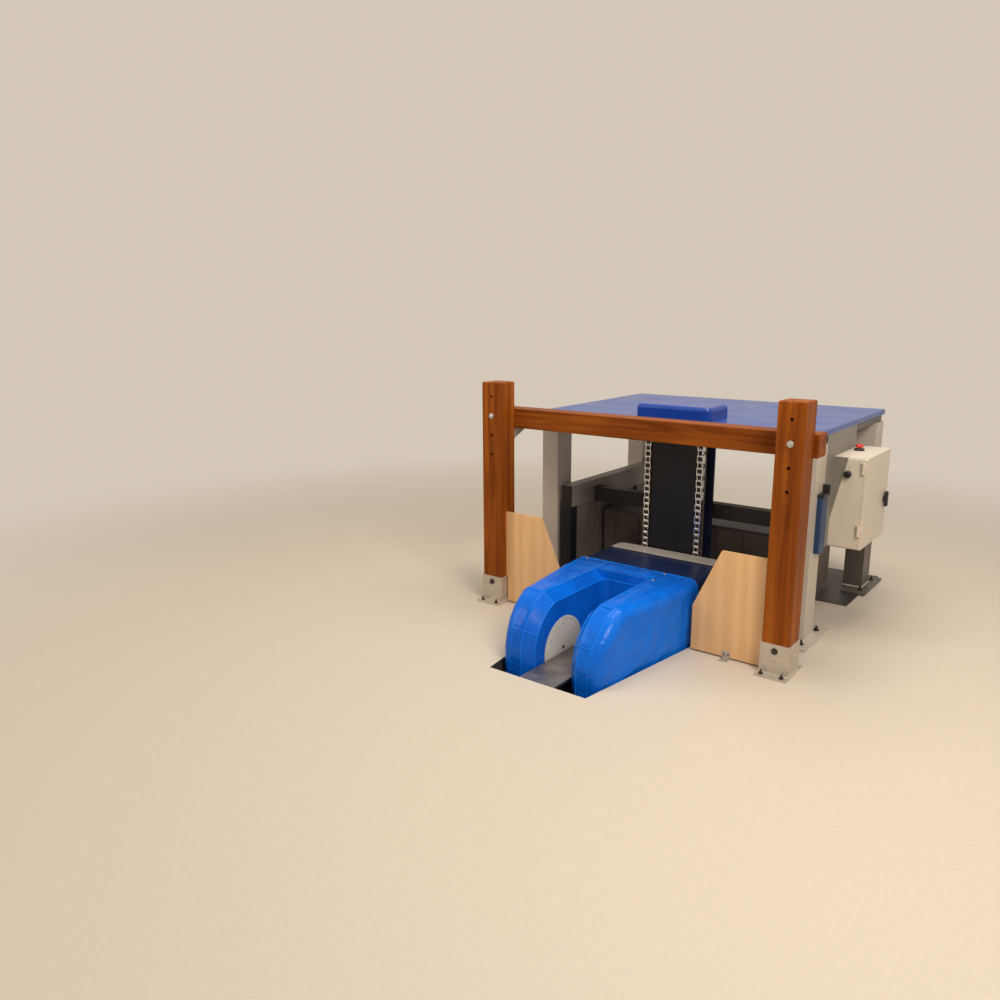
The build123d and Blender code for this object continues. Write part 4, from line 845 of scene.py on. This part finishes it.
def floorFinish():
    # pale floor that fades into the backdrop's colour away from the object
    made = Finish("paleFloor")
    grain = made.noise(60.0, 4, 0.6)
    darker = tuple(c * 0.96 for c in stageSizes["floor"])
    colour = made.mix(made.range(grain, 0.35, 0.65), darker, stageSizes["floor"])
    material = made.done(colour=colour, roughness=0.62, normal=made.bump(grain, 0.05, 0.002))
    glow = made.tree.nodes.new("ShaderNodeEmission")
    glow.inputs["Color"].default_value = (*stageSizes["far"], 1)
    x, y = made.axis("X"), made.axis("Y")
    fade = made.range((x * x + y * y) ** 0.5, stageSizes["fadeStart"], stageSizes["fadeEnd"])
    blend = made.tree.nodes.new("ShaderNodeMixShader")
    made.tree.links.new(fade.socket, blend.inputs[0])
    made.tree.links.new(made.shader.outputs[0], blend.inputs[1])
    made.tree.links.new(glow.outputs[0], blend.inputs[2])
    output = next(item for item in made.tree.nodes if item.type == "OUTPUT_MATERIAL")
    made.tree.links.new(blend.outputs[0], output.inputs["Surface"])
    return material


def buildStage():
    s = stageSizes
    rim = [(-s["slotFrontHalf"], s["slotFront"]), (s["slotFrontHalf"], s["slotFront"]),
           (s["slotHalf"], s["slotWaist"]), (s["slotHalf"], s["slotBack"]),
           (-s["slotHalf"], s["slotBack"]), (-s["slotHalf"], s["slotWaist"])]
    r = s["reach"]
    outer = [(-r, -r), (r, -r), (r, s["slotWaist"]), (r, r), (-r, r), (-r, s["slotWaist"])]
    count = len(rim)
    points = [(x, y, 0) for x, y in outer] + [(x, y, 0) for x, y in rim]
    faces = [(i, (i + 1) % count, count + (i + 1) % count, count + i) for i in range(count)]
    floor = floorFinish()
    stagePiece("floorStage", points, faces, floor)
    made = Finish("darkPit")
    pit = made.done(colour=s["pit"], roughness=0.9)
    points = [(x, y, 0) for x, y in rim] + [(x, y, -s["pitDepth"]) for x, y in rim]
    faces = [(count + i, count + (i + 1) % count, (i + 1) % count, i) for i in range(count)]
    faces.append(tuple(range(count, 2 * count)))
    stagePiece("pitStage", points, faces, pit)


buildStage()


# Light and camera

world = bpy.data.worlds.new("studio")
scene.world = world
world.use_nodes = True
tree = world.node_tree
tree.nodes.clear()
background = tree.nodes.new("ShaderNodeBackground")
background.inputs["Color"].default_value = (0.86, 0.80, 0.72, 1)
background.inputs["Strength"].default_value = 0.42
seen = tree.nodes.new("ShaderNodeBackground")
seen.inputs["Color"].default_value = (*stageSizes["far"], 1)
seen.inputs["Strength"].default_value = 1.0
rays = tree.nodes.new("ShaderNodeLightPath")
either = tree.nodes.new("ShaderNodeMath")
either.operation = "MAXIMUM"
tree.links.new(rays.outputs["Is Camera Ray"], either.inputs[0])
tree.links.new(rays.outputs["Is Glossy Ray"], either.inputs[1])
anyOf = tree.nodes.new("ShaderNodeMath")
anyOf.operation = "MAXIMUM"
tree.links.new(either.outputs[0], anyOf.inputs[0])
tree.links.new(rays.outputs["Is Transmission Ray"], anyOf.inputs[1])
blend = tree.nodes.new("ShaderNodeMixShader")
tree.links.new(anyOf.outputs[0], blend.inputs[0])
tree.links.new(background.outputs[0], blend.inputs[1])
tree.links.new(seen.outputs[0], blend.inputs[2])
worldOutput = tree.nodes.new("ShaderNodeOutputWorld")
tree.links.new(blend.outputs[0], worldOutput.inputs["Surface"])

lamps = {
    "key": {"place": (3.4, -2.4, 3.9), "aim": (0.2, 0.2, 0.4), "size": 2.0, "power": 165,
            "colour": (1.0, 0.95, 0.88)},
    "left": {"place": (-3.8, -3.2, 3.2), "aim": (0.0, 0.0, 0.5), "size": 2.4, "power": 56,
             "colour": (1.0, 0.93, 0.84)},
    "ceiling": {"place": (0.2, 0.6, 4.4), "aim": (0.1, 0.3, 0.5), "size": 2.6, "power": 122,
                "colour": (1.0, 0.96, 0.90)},
}
for lampName, lamp in lamps.items():
    light = bpy.data.lights.new(lampName, "AREA")
    light.energy = lamp["power"]
    light.size = lamp["size"]
    light.color = lamp["colour"]
    holder = bpy.data.objects.new(lampName, light)
    scene.collection.objects.link(holder)
    direction = Vector(lamp["aim"]) - Vector(lamp["place"])
    turn = direction.to_track_quat("-Z", "Y").to_matrix().to_4x4()
    holder.matrix_world = Matrix.Translation(lamp["place"]) @ turn

# angles in degrees, focal length in pixels of the 1000-pixel frame
viewpoint = {"place": (1.9127, -3.3945, 1.550), "azimuth": 38.30, "down": 12.96, "roll": -0.314,
             "focal": 830.5}


def buildCamera():
    a, p, r = (math.radians(viewpoint[k]) for k in ("azimuth", "down", "roll"))
    forward = Vector((-math.sin(a) * math.cos(p), math.cos(a) * math.cos(p), -math.sin(p)))
    right = Vector((math.cos(a), math.sin(a), 0))
    up = right.cross(forward)
    right, up = math.cos(r) * right + math.sin(r) * up, -math.sin(r) * right + math.cos(r) * up
    data = bpy.data.cameras.new("photoCamera")
    data.sensor_width = 36
    data.lens = viewpoint["focal"] / 1000 * 36
    data.clip_end = 120
    holder = bpy.data.objects.new("photoCamera", data)
    scene.collection.objects.link(holder)
    turn = Matrix((right, up, -forward)).transposed().to_4x4()
    holder.matrix_world = Matrix.Translation(viewpoint["place"]) @ turn
    scene.camera = holder


buildCamera()
scene.view_settings.view_transform = "Standard"
